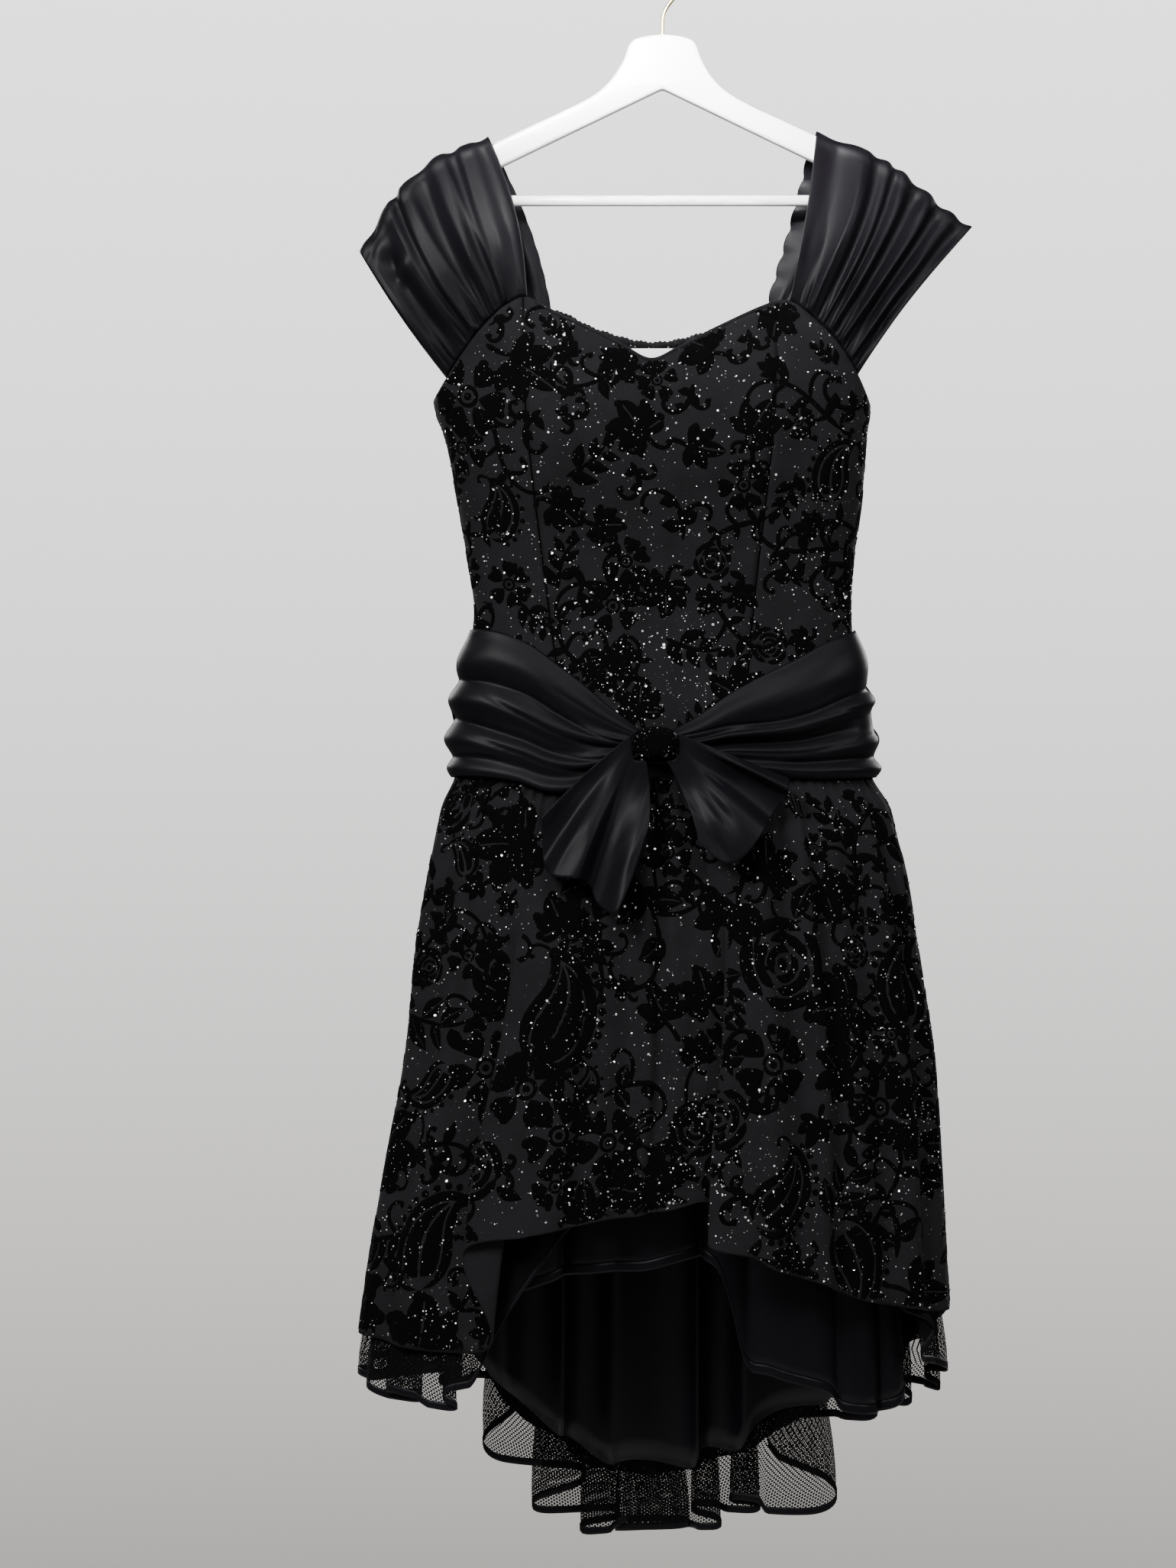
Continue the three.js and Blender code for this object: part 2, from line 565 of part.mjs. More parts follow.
// over is 0 at the front seam, 1 on the ridge over the arm and 2 at the back seam.
function sleevePoint(sleeve, along, over) {
  const line = readRow(sleeve.lines, "along", along);
  const front = over <= 1;
  const rise = front ? over : 2 - over;
  const side = front ? "front" : "back";
  const seamX = (front ? line.seamX : line.backX) * sleeve.mirror;
  const seamZ = smoothValue(front ? frontTopEdge : backTopEdge, "x", "z", seamX) + sleeveShape.seamLift;
  const seam = bodicePoint(seamX, seamZ, side);
  const straightUp = line.ridgeZ - sleeveCap.height;
  const lean = clamp01(rise / sleeveCap.from);
  const overCap = (clamp01((rise - sleeveCap.from) / (1 - sleeveCap.from)) * Math.PI) / 2;
  const z = mix(seamZ, straightUp, lean) + sleeveCap.height * Math.sin(overCap);
  const heightShare = (z - seamZ) / (line.ridgeZ - seamZ);
  const bow = mix(sleeve.neckBow, sleeve.outerBow, along) * Math.sin(Math.PI * heightShare);
  const x = mix(seamX, line.ridgeX * sleeve.mirror, heightShare) - bow * sleeve.mirror;
  const ridgeHalf = mix(sleeveShape.ridgeHalfWidth, sleeveShape.outerHalfWidth, along);
  const puff = (front ? sleeveShape.puff : sleeveShape.backPuff) * Math.sin(Math.PI * lean);
  const y = (mix(Math.abs(seam.y), ridgeHalf, lean) + puff) * Math.cos(overCap);
  return new THREE.Vector3(x, front ? -y : y, z);
}

function foldedSleevePoint(sleeve, along, over) {
  const step = 0.002;
  const base = sleevePoint(sleeve, along, over);
  const alongStep = sleevePoint(sleeve, Math.min(along + step, 1), over).sub(
    sleevePoint(sleeve, Math.max(along - step, 0), over),
  );
  const overStep = sleevePoint(sleeve, along, Math.min(over + step, 2)).sub(
    sleevePoint(sleeve, along, Math.max(over - step, 0)),
  );
  const out = alongStep.cross(overStep).multiplyScalar(-sleeve.mirror).normalize();
  const rise = over <= 1 ? over : 2 - over;
  const { atSeam, seamShare, onRidge, ridgeShare } = sleeveFolds;
  const pressed = easeInOut((rise - 1 + ridgeShare) / ridgeShare);
  const amount = mix(atSeam, 1, easeInOut(rise / seamShare)) * mix(1, onRidge, pressed);
  let height = 0;
  for (const fold of sleeve.folds) height += fold.depth * hump((along - fold.along) / fold.width);
  return base.addScaledVector(out, height * amount);
}

const sleeveRise = [0, 0.1, 0.3, 0.52, 0.72, 0.88, 0.93, 0.965];
function sleeveBand(sleeve, columns) {
  const over = [...sleeveRise, 1, ...sleeveRise.map((rise) => 2 - rise).reverse()];
  const across = sleeve.mirror > 0 ? evenly(0, 1, columns) : evenly(1, 0, columns);
  const down = [...over].reverse();
  return clothWall((along, t) => foldedSleevePoint(sleeve, along, t), across, down, SATIN);
}

// A stretch of the sash between two side seams or a side seam and the bow's knot. upper and lower are
// its edges' heights. A fold's place is its share of the width at the start, middle and end.
const sashStretches = {
  frontLeft: {
    edges: [
      { turn: 0, upper: -620, lower: -755 },
      { turn: 0.06, upper: -622, lower: -755 },
      { turn: 0.1, upper: -634, lower: -759 },
      { turn: 0.13, upper: -652, lower: -768 },
      { turn: 0.158, upper: -670, lower: -768 },
      { turn: 0.187, upper: -690, lower: -757 },
      { turn: 0.224, upper: -712, lower: -738 },
    ],
    folds: [
      { start: 0.2, middle: 0.18, end: 0.2, width: 0.17, depth: 4 },
      { start: 0.47, middle: 0.5, end: 0.45, width: 0.12, depth: 5 },
      { start: 0.74, middle: 0.78, end: 0.68, width: 0.12, depth: 6 },
      { start: 0.94, middle: 0.97, end: 0.9, width: 0.08, depth: 4 },
    ],
  },
  frontRight: {
    edges: [
      { turn: 0.26, upper: -712, lower: -738 },
      { turn: 0.292, upper: -699, lower: -746 },
      { turn: 0.327, upper: -680, lower: -750 },
      { turn: 0.361, upper: -664, lower: -754 },
      { turn: 0.393, upper: -650, lower: -757 },
      { turn: 0.44, upper: -630, lower: -757 },
      { turn: 0.5, upper: -620, lower: -755 },
    ],
    folds: [
      { start: 0.25, middle: 0.26, end: 0.2, width: 0.22, depth: 5 },
      { start: 0.5, middle: 0.56, end: 0.47, width: 0.09, depth: 6 },
      { start: 0.72, middle: 0.76, end: 0.74, width: 0.1, depth: 4 },
      { start: 0.9, middle: 0.93, end: 0.94, width: 0.08, depth: 5 },
    ],
  },
  back: {
    edges: [
      { turn: 0.5, upper: -620, lower: -755 },
      { turn: 0.6, upper: -628, lower: -757 },
      { turn: 0.75, upper: -632, lower: -758 },
      { turn: 0.9, upper: -628, lower: -757 },
      { turn: 1, upper: -620, lower: -755 },
    ],
    folds: [
      { start: 0.2, middle: 0.24, end: 0.2, width: 0.17, depth: 4 },
      { start: 0.47, middle: 0.5, end: 0.47, width: 0.11, depth: 5 },
      { start: 0.74, middle: 0.75, end: 0.74, width: 0.11, depth: 5 },
      { start: 0.94, middle: 0.93, end: 0.94, width: 0.08, depth: 4 },
    ],
  },
};
const sashLift = { upper: 2.55, lower: 3.9, middle: 4.5 }; // of the sash's face above the bodice's
const SASH_FULL_WIDTH = 90; // where the sash is narrower than this, its folds are lower
const SASH_CROWDING = 0.08; // how far its columns crowd towards the knot and the seams

function sashPoint(stretch, turn, share) {
  const first = stretch.edges[0].turn;
  const last = stretch.edges[stretch.edges.length - 1].turn;
  const edge = readRow(stretch.edges, "turn", turn);
  const z = mix(edge.upper, edge.lower, share);
  const t = (turn - first) / (last - first);
  const level = levelAt(z);
  const { out } = ovalDirections(level, turn);
  let lift = mix(sashLift.upper, sashLift.lower, share);
  lift += sashLift.middle * Math.sqrt(Math.sin(Math.PI * share) + 1e-9);
  for (const fold of stretch.folds) {
    const firstHalf = mix(fold.start, fold.middle, easeInOut(2 * t));
    const place = t < 0.5 ? firstHalf : mix(fold.middle, fold.end, easeInOut(2 * t - 1));
    const room = Math.min(1, (edge.upper - edge.lower) / SASH_FULL_WIDTH);
    lift += fold.depth * room * hump((share - place) / fold.width);
  }
  return ovalPoint(level, turn).addScaledVector(out, lift);
}

function sashPanel(stretch, columns, rows) {
  const first = stretch.edges[0].turn + seamTurn;
  const last = stretch.edges[stretch.edges.length - 1].turn - seamTurn;
  const crowded = (t) => t - SASH_CROWDING * Math.sin(2 * Math.PI * t);
  const across = evenly(0, 1, columns).map((t) => mix(first, last, crowded(t)));
  return clothWall((turn, share) => sashPoint(stretch, turn, share), across, evenly(0, 1, rows), SATIN);
}

// The bow's knot: a short puffed wrap of the skirt's cloth at the centre front.
const knot = { x: -8, z: -724.5, width: 40, height: 30, depth: 22, back: -58.4 };
const knotForm = { squareness: 0.62, endTaper: 0.12, gathers: 7, gatherDepth: 0.05 };
function bowKnot() {
  const geometry = new THREE.SphereGeometry(1, 20, 12);
  const position = geometry.attributes.position;
  for (let i = 0; i < position.count; i++) {
    const p = new THREE.Vector3().fromBufferAttribute(position, i);
    const squared = (value) => Math.sign(value) * Math.abs(value) ** knotForm.squareness;
    const gather = 1 + knotForm.gatherDepth * Math.cos(knotForm.gathers * Math.PI * p.x);
    const x = knot.x + (knot.width / 2) * squared(p.x);
    const y = knot.back - (knot.depth / 2) * (1 + squared(p.y) * -1) * (p.y < 0 ? gather : 1);
    const z = knot.z + (knot.height / 2) * squared(p.z) * (1 - knotForm.endTaper * Math.abs(squared(p.x)));
    position.setXYZ(i, x, y, z);
  }
  geometry.deleteAttribute("normal");
  geometry.deleteAttribute("uv");
  return geometry;
}

// A bow tail: a fan of satin from the knot. Each row is a line down the fan: where it leaves the knot,
// where it ends, how far its end stands forward of the skirt, and how far it bulges sideways.
const bowTails = {
  left: [
    { along: 0, rootX: -28.4, rootZ: -716, endX: -110, endZ: -792, forward: 9, bulge: 6 },
    { along: 0.2, rootX: -28.4, rootZ: -721, endX: -108, endZ: -832, forward: 2, bulge: 4 },
    { along: 0.38, rootX: -28.4, rootZ: -727, endX: -99, endZ: -843, forward: 20, bulge: 3 },
    { along: 0.56, rootX: -28.5, rootZ: -733, endX: -70, endZ: -846, forward: 5, bulge: 1 },
    { along: 0.74, rootX: -27, rootZ: -739.4, endX: -60, endZ: -868, forward: 19, bulge: -2 },
    { along: 0.88, rootX: -22, rootZ: -740.1, endX: -43, endZ: -874, forward: 14, bulge: -6 },
    { along: 1, rootX: -16, rootZ: -740.2, endX: -24, endZ: -836, forward: 5, bulge: -7 },
  ],
  right: [
    { along: 0, rootX: 12.4, rootZ: -716, endX: 112, endZ: -756, forward: 10, bulge: 5 },
    { along: 0.2, rootX: 12.4, rootZ: -721, endX: 110, endZ: -772, forward: 22, bulge: 3 },
    { along: 0.38, rootX: 12.4, rootZ: -727, endX: 96, endZ: -790, forward: 5, bulge: 1 },
    { along: 0.56, rootX: 12.5, rootZ: -733, endX: 89, endZ: -802, forward: 19, bulge: 0 },
    { along: 0.8, rootX: 9, rootZ: -740, endX: 62, endZ: -836, forward: 12, bulge: 1 },
    { along: 1, rootX: 2, rootZ: -740.2, endX: 30, endZ: -814, forward: 5, bulge: 5 },
  ],
};
// Where the tails leave the knot, how far they clear the skirt, and how soon they settle towards it.
const tailRoot = { y: -72.5, clearance: 11, settling: 1.6, bulgeDrop: 0.4 };

function tailPoint(rows, along, down) {
  const line = readRow(rows, "along", along);
  const bulge = line.bulge * Math.sin(Math.PI * down) * Math.sign(line.endX);
  const x = mix(line.rootX, line.endX, down) + bulge;
  const z = mix(line.rootZ, line.endZ, down) - Math.abs(bulge) * tailRoot.bulgeDrop;
  const level = levelAt(z);
  const skirtY = ovalPoint(level, turnAtX(level, x, "front")).y;
  const forward = tailRoot.clearance + line.forward * Math.sin((Math.PI / 2) * down);
  return new THREE.Vector3(x, mix(tailRoot.y, skirtY - forward, easeInOut(down * tailRoot.settling)), z);
}

function bowTail(rows, columns, steps) {
  const toRight = rows[0].endX > 0;
  const across = toRight ? evenly(1, 0, columns) : evenly(0, 1, columns);
  return clothWall((along, down) => tailPoint(rows, along, down), across, evenly(0, 1, steps), SATIN);
}

// The elastic casing along the back neck: a thin gathered roll on the back's upper edge.
const casing = { fromX: -100, toX: 96, radius: 3, flatness: 0.7, gathers: 12, gatherDepth: 0.7, gap: 0.9 };
const casingMesh = { sides: 6, steps: 36 };
function backNeckCasing() {
  const rings = [];
  for (let i = 0; i <= casingMesh.steps; i++) {
    const share = i / casingMesh.steps;
    const x = mix(casing.fromX, casing.toX, share);
    const edge = smoothValue(backTopEdge, "x", "z", x);
    const radius = casing.radius + casing.gatherDepth * Math.cos(2 * Math.PI * casing.gathers * share);
    const middle = bodicePoint(x, edge, "back");
    const ring = [];
    for (let side = 0; side < casingMesh.sides; side++) {
      const angle = (2 * Math.PI * side) / casingMesh.sides;
      const y = middle.y - FLOCKED_CLOTH / 2 + radius * casing.flatness * Math.cos(angle);
      const lift = casing.radius + casing.gatherDepth + casing.gap;
      ring.push(new THREE.Vector3(x, y, edge + lift + radius * Math.sin(angle)));
    }
    rings.push(ring);
  }
  const positions = rings.flat().flatMap((p) => [p.x, p.y, p.z]);
  const triangles = [];
  const index = (i, side) => i * casingMesh.sides + (side % casingMesh.sides);
  for (let i = 0; i < casingMesh.steps; i++) {
    for (let side = 0; side < casingMesh.sides; side++) {
      triangles.push(index(i, side), index(i + 1, side + 1), index(i + 1, side));
      triangles.push(index(i, side), index(i, side + 1), index(i + 1, side + 1));
    }
  }
  const last = casingMesh.steps;
  for (let side = 1; side < casingMesh.sides - 1; side++) {
    triangles.push(index(0, 0), index(0, side + 1), index(0, side));
    triangles.push(index(last, 0), index(last, side), index(last, side + 1));
  }
  const geometry = new THREE.BufferGeometry();
  geometry.setAttribute("position", new THREE.Float32BufferAttribute(positions, 3));
  geometry.setIndex(triangles);
  return geometry;
}

// The blank woven label inside the back neck.
const label = { fromX: -29, toX: 15, topZ: -361.5, height: 20, thickness: 1, offCloth: 0.6 };
function neckLabel() {
  const point = (x, v) => {
    const z = label.topZ - v * label.height;
    const p = bodicePoint(x, z, "back");
    p.y -= FLOCKED_CLOTH + label.offCloth + label.thickness;
    return p;
  };
  return clothWall(point, evenly(label.fromX, label.toX, 5), evenly(0, 1, 3), label.thickness);
}

// The wooden hanger: a bell-shaped neck and two sloping arms, with an eye at each end for the bar.
const hanger = { neckTop: -74.6, thickness: 12, edgeRound: 1.6 };
const hangerOutline = [
  { x: 0, drop: 0 },
  { x: 16, drop: 1.8 },
  { x: 29, drop: 7 },
  { x: 32, drop: 13 },
  { x: 35, drop: 22 },
  { x: 41, drop: 33 },
  { x: 50, drop: 45 },
  { x: 62, drop: 55 },
  { x: 80, drop: 65 },
  { x: 140, drop: 93 },
  { x: 198, drop: 120 },
  { x: 207, drop: 126.5 },
  { x: 212, drop: 137 },
  { x: 211, drop: 150 },
  { x: 205, drop: 160 },
  { x: 195, drop: 164 },
  { x: 187, drop: 161 },
  { x: 184.5, drop: 154 },
  { x: 184.5, drop: 144 },
  { x: 178, drop: 134.5 },
  { x: 0, drop: 50 },
];
function hangerBody() {
  const shape = new THREE.Shape();
  const mirrored = hangerOutline.slice(1, -1).reverse().map((p) => ({ x: -p.x, drop: p.drop }));
  const round = [...hangerOutline, ...mirrored];
  round.forEach((p, i) => {
    if (i === 0) shape.moveTo(p.x, -p.drop);
    else shape.lineTo(p.x, -p.drop);
  });
  shape.closePath();
  const geometry = new THREE.ExtrudeGeometry(shape, {
    depth: hanger.thickness - 2 * hanger.edgeRound,
    bevelEnabled: true,
    bevelThickness: hanger.edgeRound,
    bevelSize: hanger.edgeRound,
    bevelOffset: -hanger.edgeRound,
    bevelSegments: 2,
  });
  geometry.translate(0, 0, -(hanger.thickness - 2 * hanger.edgeRound) / 2);
  geometry.rotateX(Math.PI / 2);
  geometry.translate(0, 0, hanger.neckTop);
  geometry.deleteAttribute("normal");
  geometry.deleteAttribute("uv");
  return geometry;
}

const eyeX = 184.2; // the inner face of the eye at the end of an arm
const bar = { radius: 5, drop: 152, halfLength: eyeX - SEAM_GAP / 2 };
function hangerBar() {
  const geometry = new THREE.CylinderGeometry(bar.radius, bar.radius, 2 * bar.halfLength, 16);
  geometry.rotateZ(Math.PI / 2);
  geometry.translate(0, 0, hanger.neckTop - bar.drop);
  return geometry;
}

// The hook: brass wire that leaves the neck, bends aside and turns over the rail.
const hook = { wire: 1.8, insideRadius: 20, firstAngle: -50, lastAngle: 205, arcSteps: 12 };
// The straight shank and the bend above the hanger's neck, up to the arc.
const hookShank = [
  { x: 0, rise: 0.3 },
  { x: 0, rise: 8 },
  { x: 0, rise: 16 },
  { x: 2.4, rise: 23 },
  { x: 7.4, rise: 30.5 },
];
function hangerHook() {
  const radius = hook.insideRadius + hook.wire;
  const centreZ = -hook.insideRadius;
  const route = hookShank.map((p) => new THREE.Vector3(p.x, 0, hanger.neckTop + p.rise));
  for (let i = 0; i <= hook.arcSteps; i++) {
    const angle = THREE.MathUtils.degToRad(mix(hook.firstAngle, hook.lastAngle, i / hook.arcSteps));
    route.push(new THREE.Vector3(radius * Math.cos(angle), 0, centreZ + radius * Math.sin(angle)));
  }
  const section = new THREE.Shape();
  section.absarc(0, 0, hook.wire, 0, 2 * Math.PI, false);
  const geometry = new THREE.ExtrudeGeometry(section, {
    steps: 26,
    curveSegments: 4,
    extrudePath: new THREE.CatmullRomCurve3(route),
  });
  geometry.deleteAttribute("normal");
  geometry.deleteAttribute("uv");
  return geometry;
}

function piece(name, geometry, material) {
  const mesh = new THREE.Mesh(geometry, material);
  mesh.name = name;
  return mesh;
}

const { sideLeft, princessLeft, princessRight, sideRight, sideLeftAgain } = seamTurns;
const { flocked, satin, net, lining } = clothes;
const dress = new THREE.Group();
dress.add(
  piece("hanger_hook", hangerHook(), brass),
  piece("hanger_body", hangerBody(), whitePaint),
  piece("hanger_bar", hangerBar(), whitePaint),
  piece("bodice_side_left", bodicePanel(sideLeft, princessLeft, frontTopEdge, 8, 8), flocked),
  piece("bodice_front_centre", bodicePanel(princessLeft, princessRight, frontTopEdge, 14, 8), flocked),
  piece("bodice_side_right", bodicePanel(princessRight, sideRight, frontTopEdge, 8, 8), flocked),
  piece("bodice_back", bodicePanel(sideRight, sideLeftAgain, backTopEdge, 22, 8), flocked),
  piece("back_neck_casing", backNeckCasing(), flocked),
  piece("neck_label", neckLabel(), clothes.label),
  piece("sleeve_left", sleeveBand(sleeves.left, 16), satin),
  piece("sleeve_right", sleeveBand(sleeves.right, 16), satin),
  piece("sash_front_left", sashPanel(sashStretches.frontLeft, 12, 10), satin),
  piece("sash_front_right", sashPanel(sashStretches.frontRight, 12, 10), satin),
  piece("sash_back", sashPanel(sashStretches.back, 18, 10), satin),
  piece("bow_knot", bowKnot(), flocked),
  piece("bow_tail_left", bowTail(bowTails.left, 14, 6), satin),
  piece("bow_tail_right", bowTail(bowTails.right, 14, 6), satin),
  piece("skirt_front", skirtPanel(0, 0.5, 42, skirtRows.front), flocked),
  piece("skirt_back", skirtPanel(0.5, 1, 50, skirtRows.back), flocked),
  piece("petticoat_front", petticoatPanel(0, 0.5, 50), net),
  piece("petticoat_back", petticoatPanel(0.5, 1, 58), net),
  piece("petticoat_binding_front", petticoatBinding(0, 0.5, 50), satin),
  piece("petticoat_binding_back", petticoatBinding(0.5, 1, 58), satin),
  piece("lining_front", liningPanel(0, 0.5, 34), lining),
  piece("lining_back", liningPanel(0.5, 1, 34), lining),
);

export default dress;
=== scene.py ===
# A black party dress with satin cap sleeves and a bow, hanging on a white wooden hanger.
# Metres, +Z up, the front faces -Y, and the hook's inside top is at the origin. Tables are in millimetres.
import math

import bpy
import numpy as np
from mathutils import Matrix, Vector
from mathutils.kdtree import KDTree


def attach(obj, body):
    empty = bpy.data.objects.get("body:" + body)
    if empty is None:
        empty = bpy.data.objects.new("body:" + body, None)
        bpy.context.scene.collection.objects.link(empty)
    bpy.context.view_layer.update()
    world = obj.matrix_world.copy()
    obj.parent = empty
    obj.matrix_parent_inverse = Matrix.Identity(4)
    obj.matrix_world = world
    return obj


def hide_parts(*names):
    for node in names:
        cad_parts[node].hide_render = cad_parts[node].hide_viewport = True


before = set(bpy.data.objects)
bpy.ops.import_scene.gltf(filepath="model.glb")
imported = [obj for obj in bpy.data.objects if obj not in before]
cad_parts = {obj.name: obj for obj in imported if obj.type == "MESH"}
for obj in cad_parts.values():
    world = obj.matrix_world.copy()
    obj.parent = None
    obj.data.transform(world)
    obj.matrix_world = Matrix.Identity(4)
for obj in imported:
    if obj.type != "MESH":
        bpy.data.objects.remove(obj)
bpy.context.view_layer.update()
MM = 0.001


# The hanger's body: one board of beech, 12 mm thick, with a bell-shaped neck and two sloping arms.
# Its edges are rounded over, it is sprayed with white satin paint, and an eye at each end takes the bar.
def table(columns, *rows):
    """A table's columns by their names."""
    return dict(zip(columns.split(), np.array(rows, float).T))


def smooth(keys, values, at):
    """Reads a column at the places asked for, on a smooth curve through its rows."""
    if keys[0] > keys[-1]:
        keys, values = keys[::-1], values[::-1]
    slopes = np.concatenate([
        [(values[1] - values[0]) / (keys[1] - keys[0])],
        (values[2:] - values[:-2]) / (keys[2:] - keys[:-2]),
        [(values[-1] - values[-2]) / (keys[-1] - keys[-2])],
    ])
    i = np.clip(np.searchsorted(keys, at, side="right") - 1, 0, len(keys) - 2)
    width = keys[i + 1] - keys[i]
    t = np.clip((at - keys[i]) / width, 0, 1)
    level = values[i] + (values[i + 1] - values[i]) * t * t * (3 - 2 * t)
    return level + slopes[i] * width * t * (1 - t) ** 2 + slopes[i + 1] * width * t * t * (t - 1)


def table_at(rows, column, at):
    """Reads a column of a table at places asked for in its first column."""
    keys = next(iter(rows.values()))
    return smooth(keys, rows[column], at)


def dressed(piece, material, node=None):
    """Gives a piece its material, puts it under the root body, and hides the node whose place it takes."""
    piece.data.materials.append(material)
    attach(piece, "root")
    if node:
        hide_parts(node)


hanger_neck_top = -74.6
hanger_thickness = 12
hanger_edge_round = 3.2
hanger_half = table(
    "x drop",
    (0, 0), (16, 1.8), (25, 4.4), (29.5, 8), (32, 13), (35, 22), (41, 33), (50, 45), (62, 55), (80, 65),
    (110, 79), (140, 93), (170, 107), (198, 120), (207, 126.5), (212, 137), (211, 150), (205, 160),
    (195, 164), (187, 161), (184.5, 154), (184.5, 144), (178, 134.5),
)
hanger_underside = (0, 50)

distance = np.concatenate([[0], np.cumsum(np.hypot(np.diff(hanger_half["x"]), np.diff(hanger_half["drop"])))])
along = np.arange(0, distance[-1], 3.0)
half = np.stack([smooth(distance, hanger_half["x"], along), smooth(distance, hanger_half["drop"], along)], -1)
arm_underside = np.linspace(half[-1], hanger_underside, 40)[1:]
half = np.vstack([half, arm_underside])
outline = np.vstack([half, (half[1:-1] * (-1, 1))[::-1]])

bpy.ops.object.select_all(action="DESELECT")
bpy.ops.mesh.primitive_circle_add(vertices=len(outline), radius=0.1, fill_type="NGON")
hanger = bpy.context.object
hanger.name = "hanger_board"
front_face = -hanger_thickness / 2 * MM
for vertex, (x, drop) in zip(hanger.data.vertices, outline):
    vertex.co = (x * MM, front_face, (hanger_neck_top - drop) * MM)
bpy.ops.object.mode_set(mode="EDIT")
bpy.ops.mesh.select_all(action="SELECT")
bpy.ops.mesh.extrude_region_move(TRANSFORM_OT_translate={"value": (0, hanger_thickness * MM, 0)})
bpy.ops.mesh.select_all(action="SELECT")
bpy.ops.mesh.normals_make_consistent(inside=False)
bpy.ops.object.mode_set(mode="OBJECT")
rounding = hanger.modifiers.new("rounded edges", "BEVEL")
rounding.width = hanger_edge_round * MM
rounding.segments = 4
rounding.limit_method = "ANGLE"
rounding.angle_limit = math.radians(50)
bpy.ops.object.modifier_apply(modifier=rounding.name)
bpy.ops.object.shade_smooth_by_angle(angle=math.radians(40))


def new_material(name, **sockets):
    """A node material whose even values are set on the shader itself."""
    material = bpy.data.materials.new(name)
    material.use_nodes = True
    shader = material.node_tree.nodes["Principled BSDF"]
    for socket, value in sockets.items():
        shader.inputs[socket.replace("_", " ")].default_value = value
    return material


def texture(material, kind, coordinates, scale, detail=2.0, stretch=(1, 1, 1), turn=(0, 0, 0)):
    """A procedural texture on a piece's own coordinates, Object or UV, both in metres."""
    nodes, links = material.node_tree.nodes, material.node_tree.links
    source = nodes.new("ShaderNodeTexCoord")
    mapping = nodes.new("ShaderNodeMapping")
    mapping.inputs["Scale"].default_value = stretch
    mapping.inputs["Rotation"].default_value = turn
    pattern = nodes.new(kind)
    pattern.inputs["Scale"].default_value = scale
    if "Detail" in pattern.inputs:
        pattern.inputs["Detail"].default_value = detail
    links.new(source.outputs[coordinates], mapping.inputs["Vector"])
    links.new(mapping.outputs["Vector"], pattern.inputs["Vector"])
    return pattern


def shaded(material, socket, pattern, output, dark, light, low=0.3, high=0.7):
    """Lets a pattern shade a socket between two values or colours."""
    nodes, links = material.node_tree.nodes, material.node_tree.links
    ramp = nodes.new("ShaderNodeValToRGB")
    ramp.color_ramp.elements[0].position = low
    ramp.color_ramp.elements[1].position = high
    for element, value in zip(ramp.color_ramp.elements, (dark, light)):
        element.color = (*value, 1) if hasattr(value, "__len__") else (value, value, value, 1)
    links.new(pattern.outputs[output], ramp.inputs["Fac"])
    links.new(ramp.outputs["Color"], nodes["Principled BSDF"].inputs[socket])


def bumped(material, layers):
    """Raises the surface by one pattern after another, each (pattern, output, height in metres, strength)."""
    nodes, links = material.node_tree.nodes, material.node_tree.links
    normal = None
    for pattern, output, height, strength in layers:
        bump = nodes.new("ShaderNodeBump")
        bump.inputs["Distance"].default_value = height
        bump.inputs["Strength"].default_value = strength
        links.new(pattern.outputs[output], bump.inputs["Height"])
        if normal is not None:
            links.new(normal, bump.inputs["Normal"])
        normal = bump.outputs["Normal"]
    links.new(normal, nodes["Principled BSDF"].inputs["Normal"])


white_paint = new_material("white paint", Roughness=0.35, Specular_IOR_Level=0.5, Coat_Weight=0.15)
paint_cloud = texture(white_paint, "ShaderNodeTexNoise", "Object", 9, detail=3)
paint_grain = texture(white_paint, "ShaderNodeTexNoise", "Object", 260, detail=2, stretch=(0.08, 1, 1))
paint_peel = texture(white_paint, "ShaderNodeTexNoise", "Object", 900, detail=1)
shaded(white_paint, "Base Color", paint_cloud, "Fac", (0.88, 0.88, 0.88), (0.93, 0.93, 0.925))
bumped(white_paint, [(paint_grain, "Fac", 0.0004, 0.25), (paint_peel, "Fac", 0.0001, 0.25)])
dressed(hanger, white_paint, "hanger_body")

# The hanger's bar: a turned rod, 10 mm thick, that stops a quarter of a millimetre short of the eyes.
# It is painted with the hanger, and its ends are eased.
bar_radius = 5
bar_half_length = 183.95
bar_drop = 152
bar_end_round = 1.2
bpy.ops.object.select_all(action="DESELECT")
bpy.ops.mesh.primitive_cylinder_add(
    vertices=40, radius=bar_radius * MM, depth=2 * bar_half_length * MM, end_fill_type="NGON",
    location=(0, 0, (hanger_neck_top - bar_drop) * MM), rotation=(0, math.pi / 2, 0),
)
bar = bpy.context.object
bar.name = "hanger_rod"
bpy.ops.object.transform_apply(location=True, rotation=True, scale=True)
eased = bar.modifiers.new("eased ends", "BEVEL")
eased.width = bar_end_round * MM
eased.segments = 3
eased.limit_method = "ANGLE"
bpy.ops.object.modifier_apply(modifier=eased.name)
bpy.ops.object.shade_smooth_by_angle(angle=math.radians(40))
dressed(bar, white_paint, "hanger_bar")

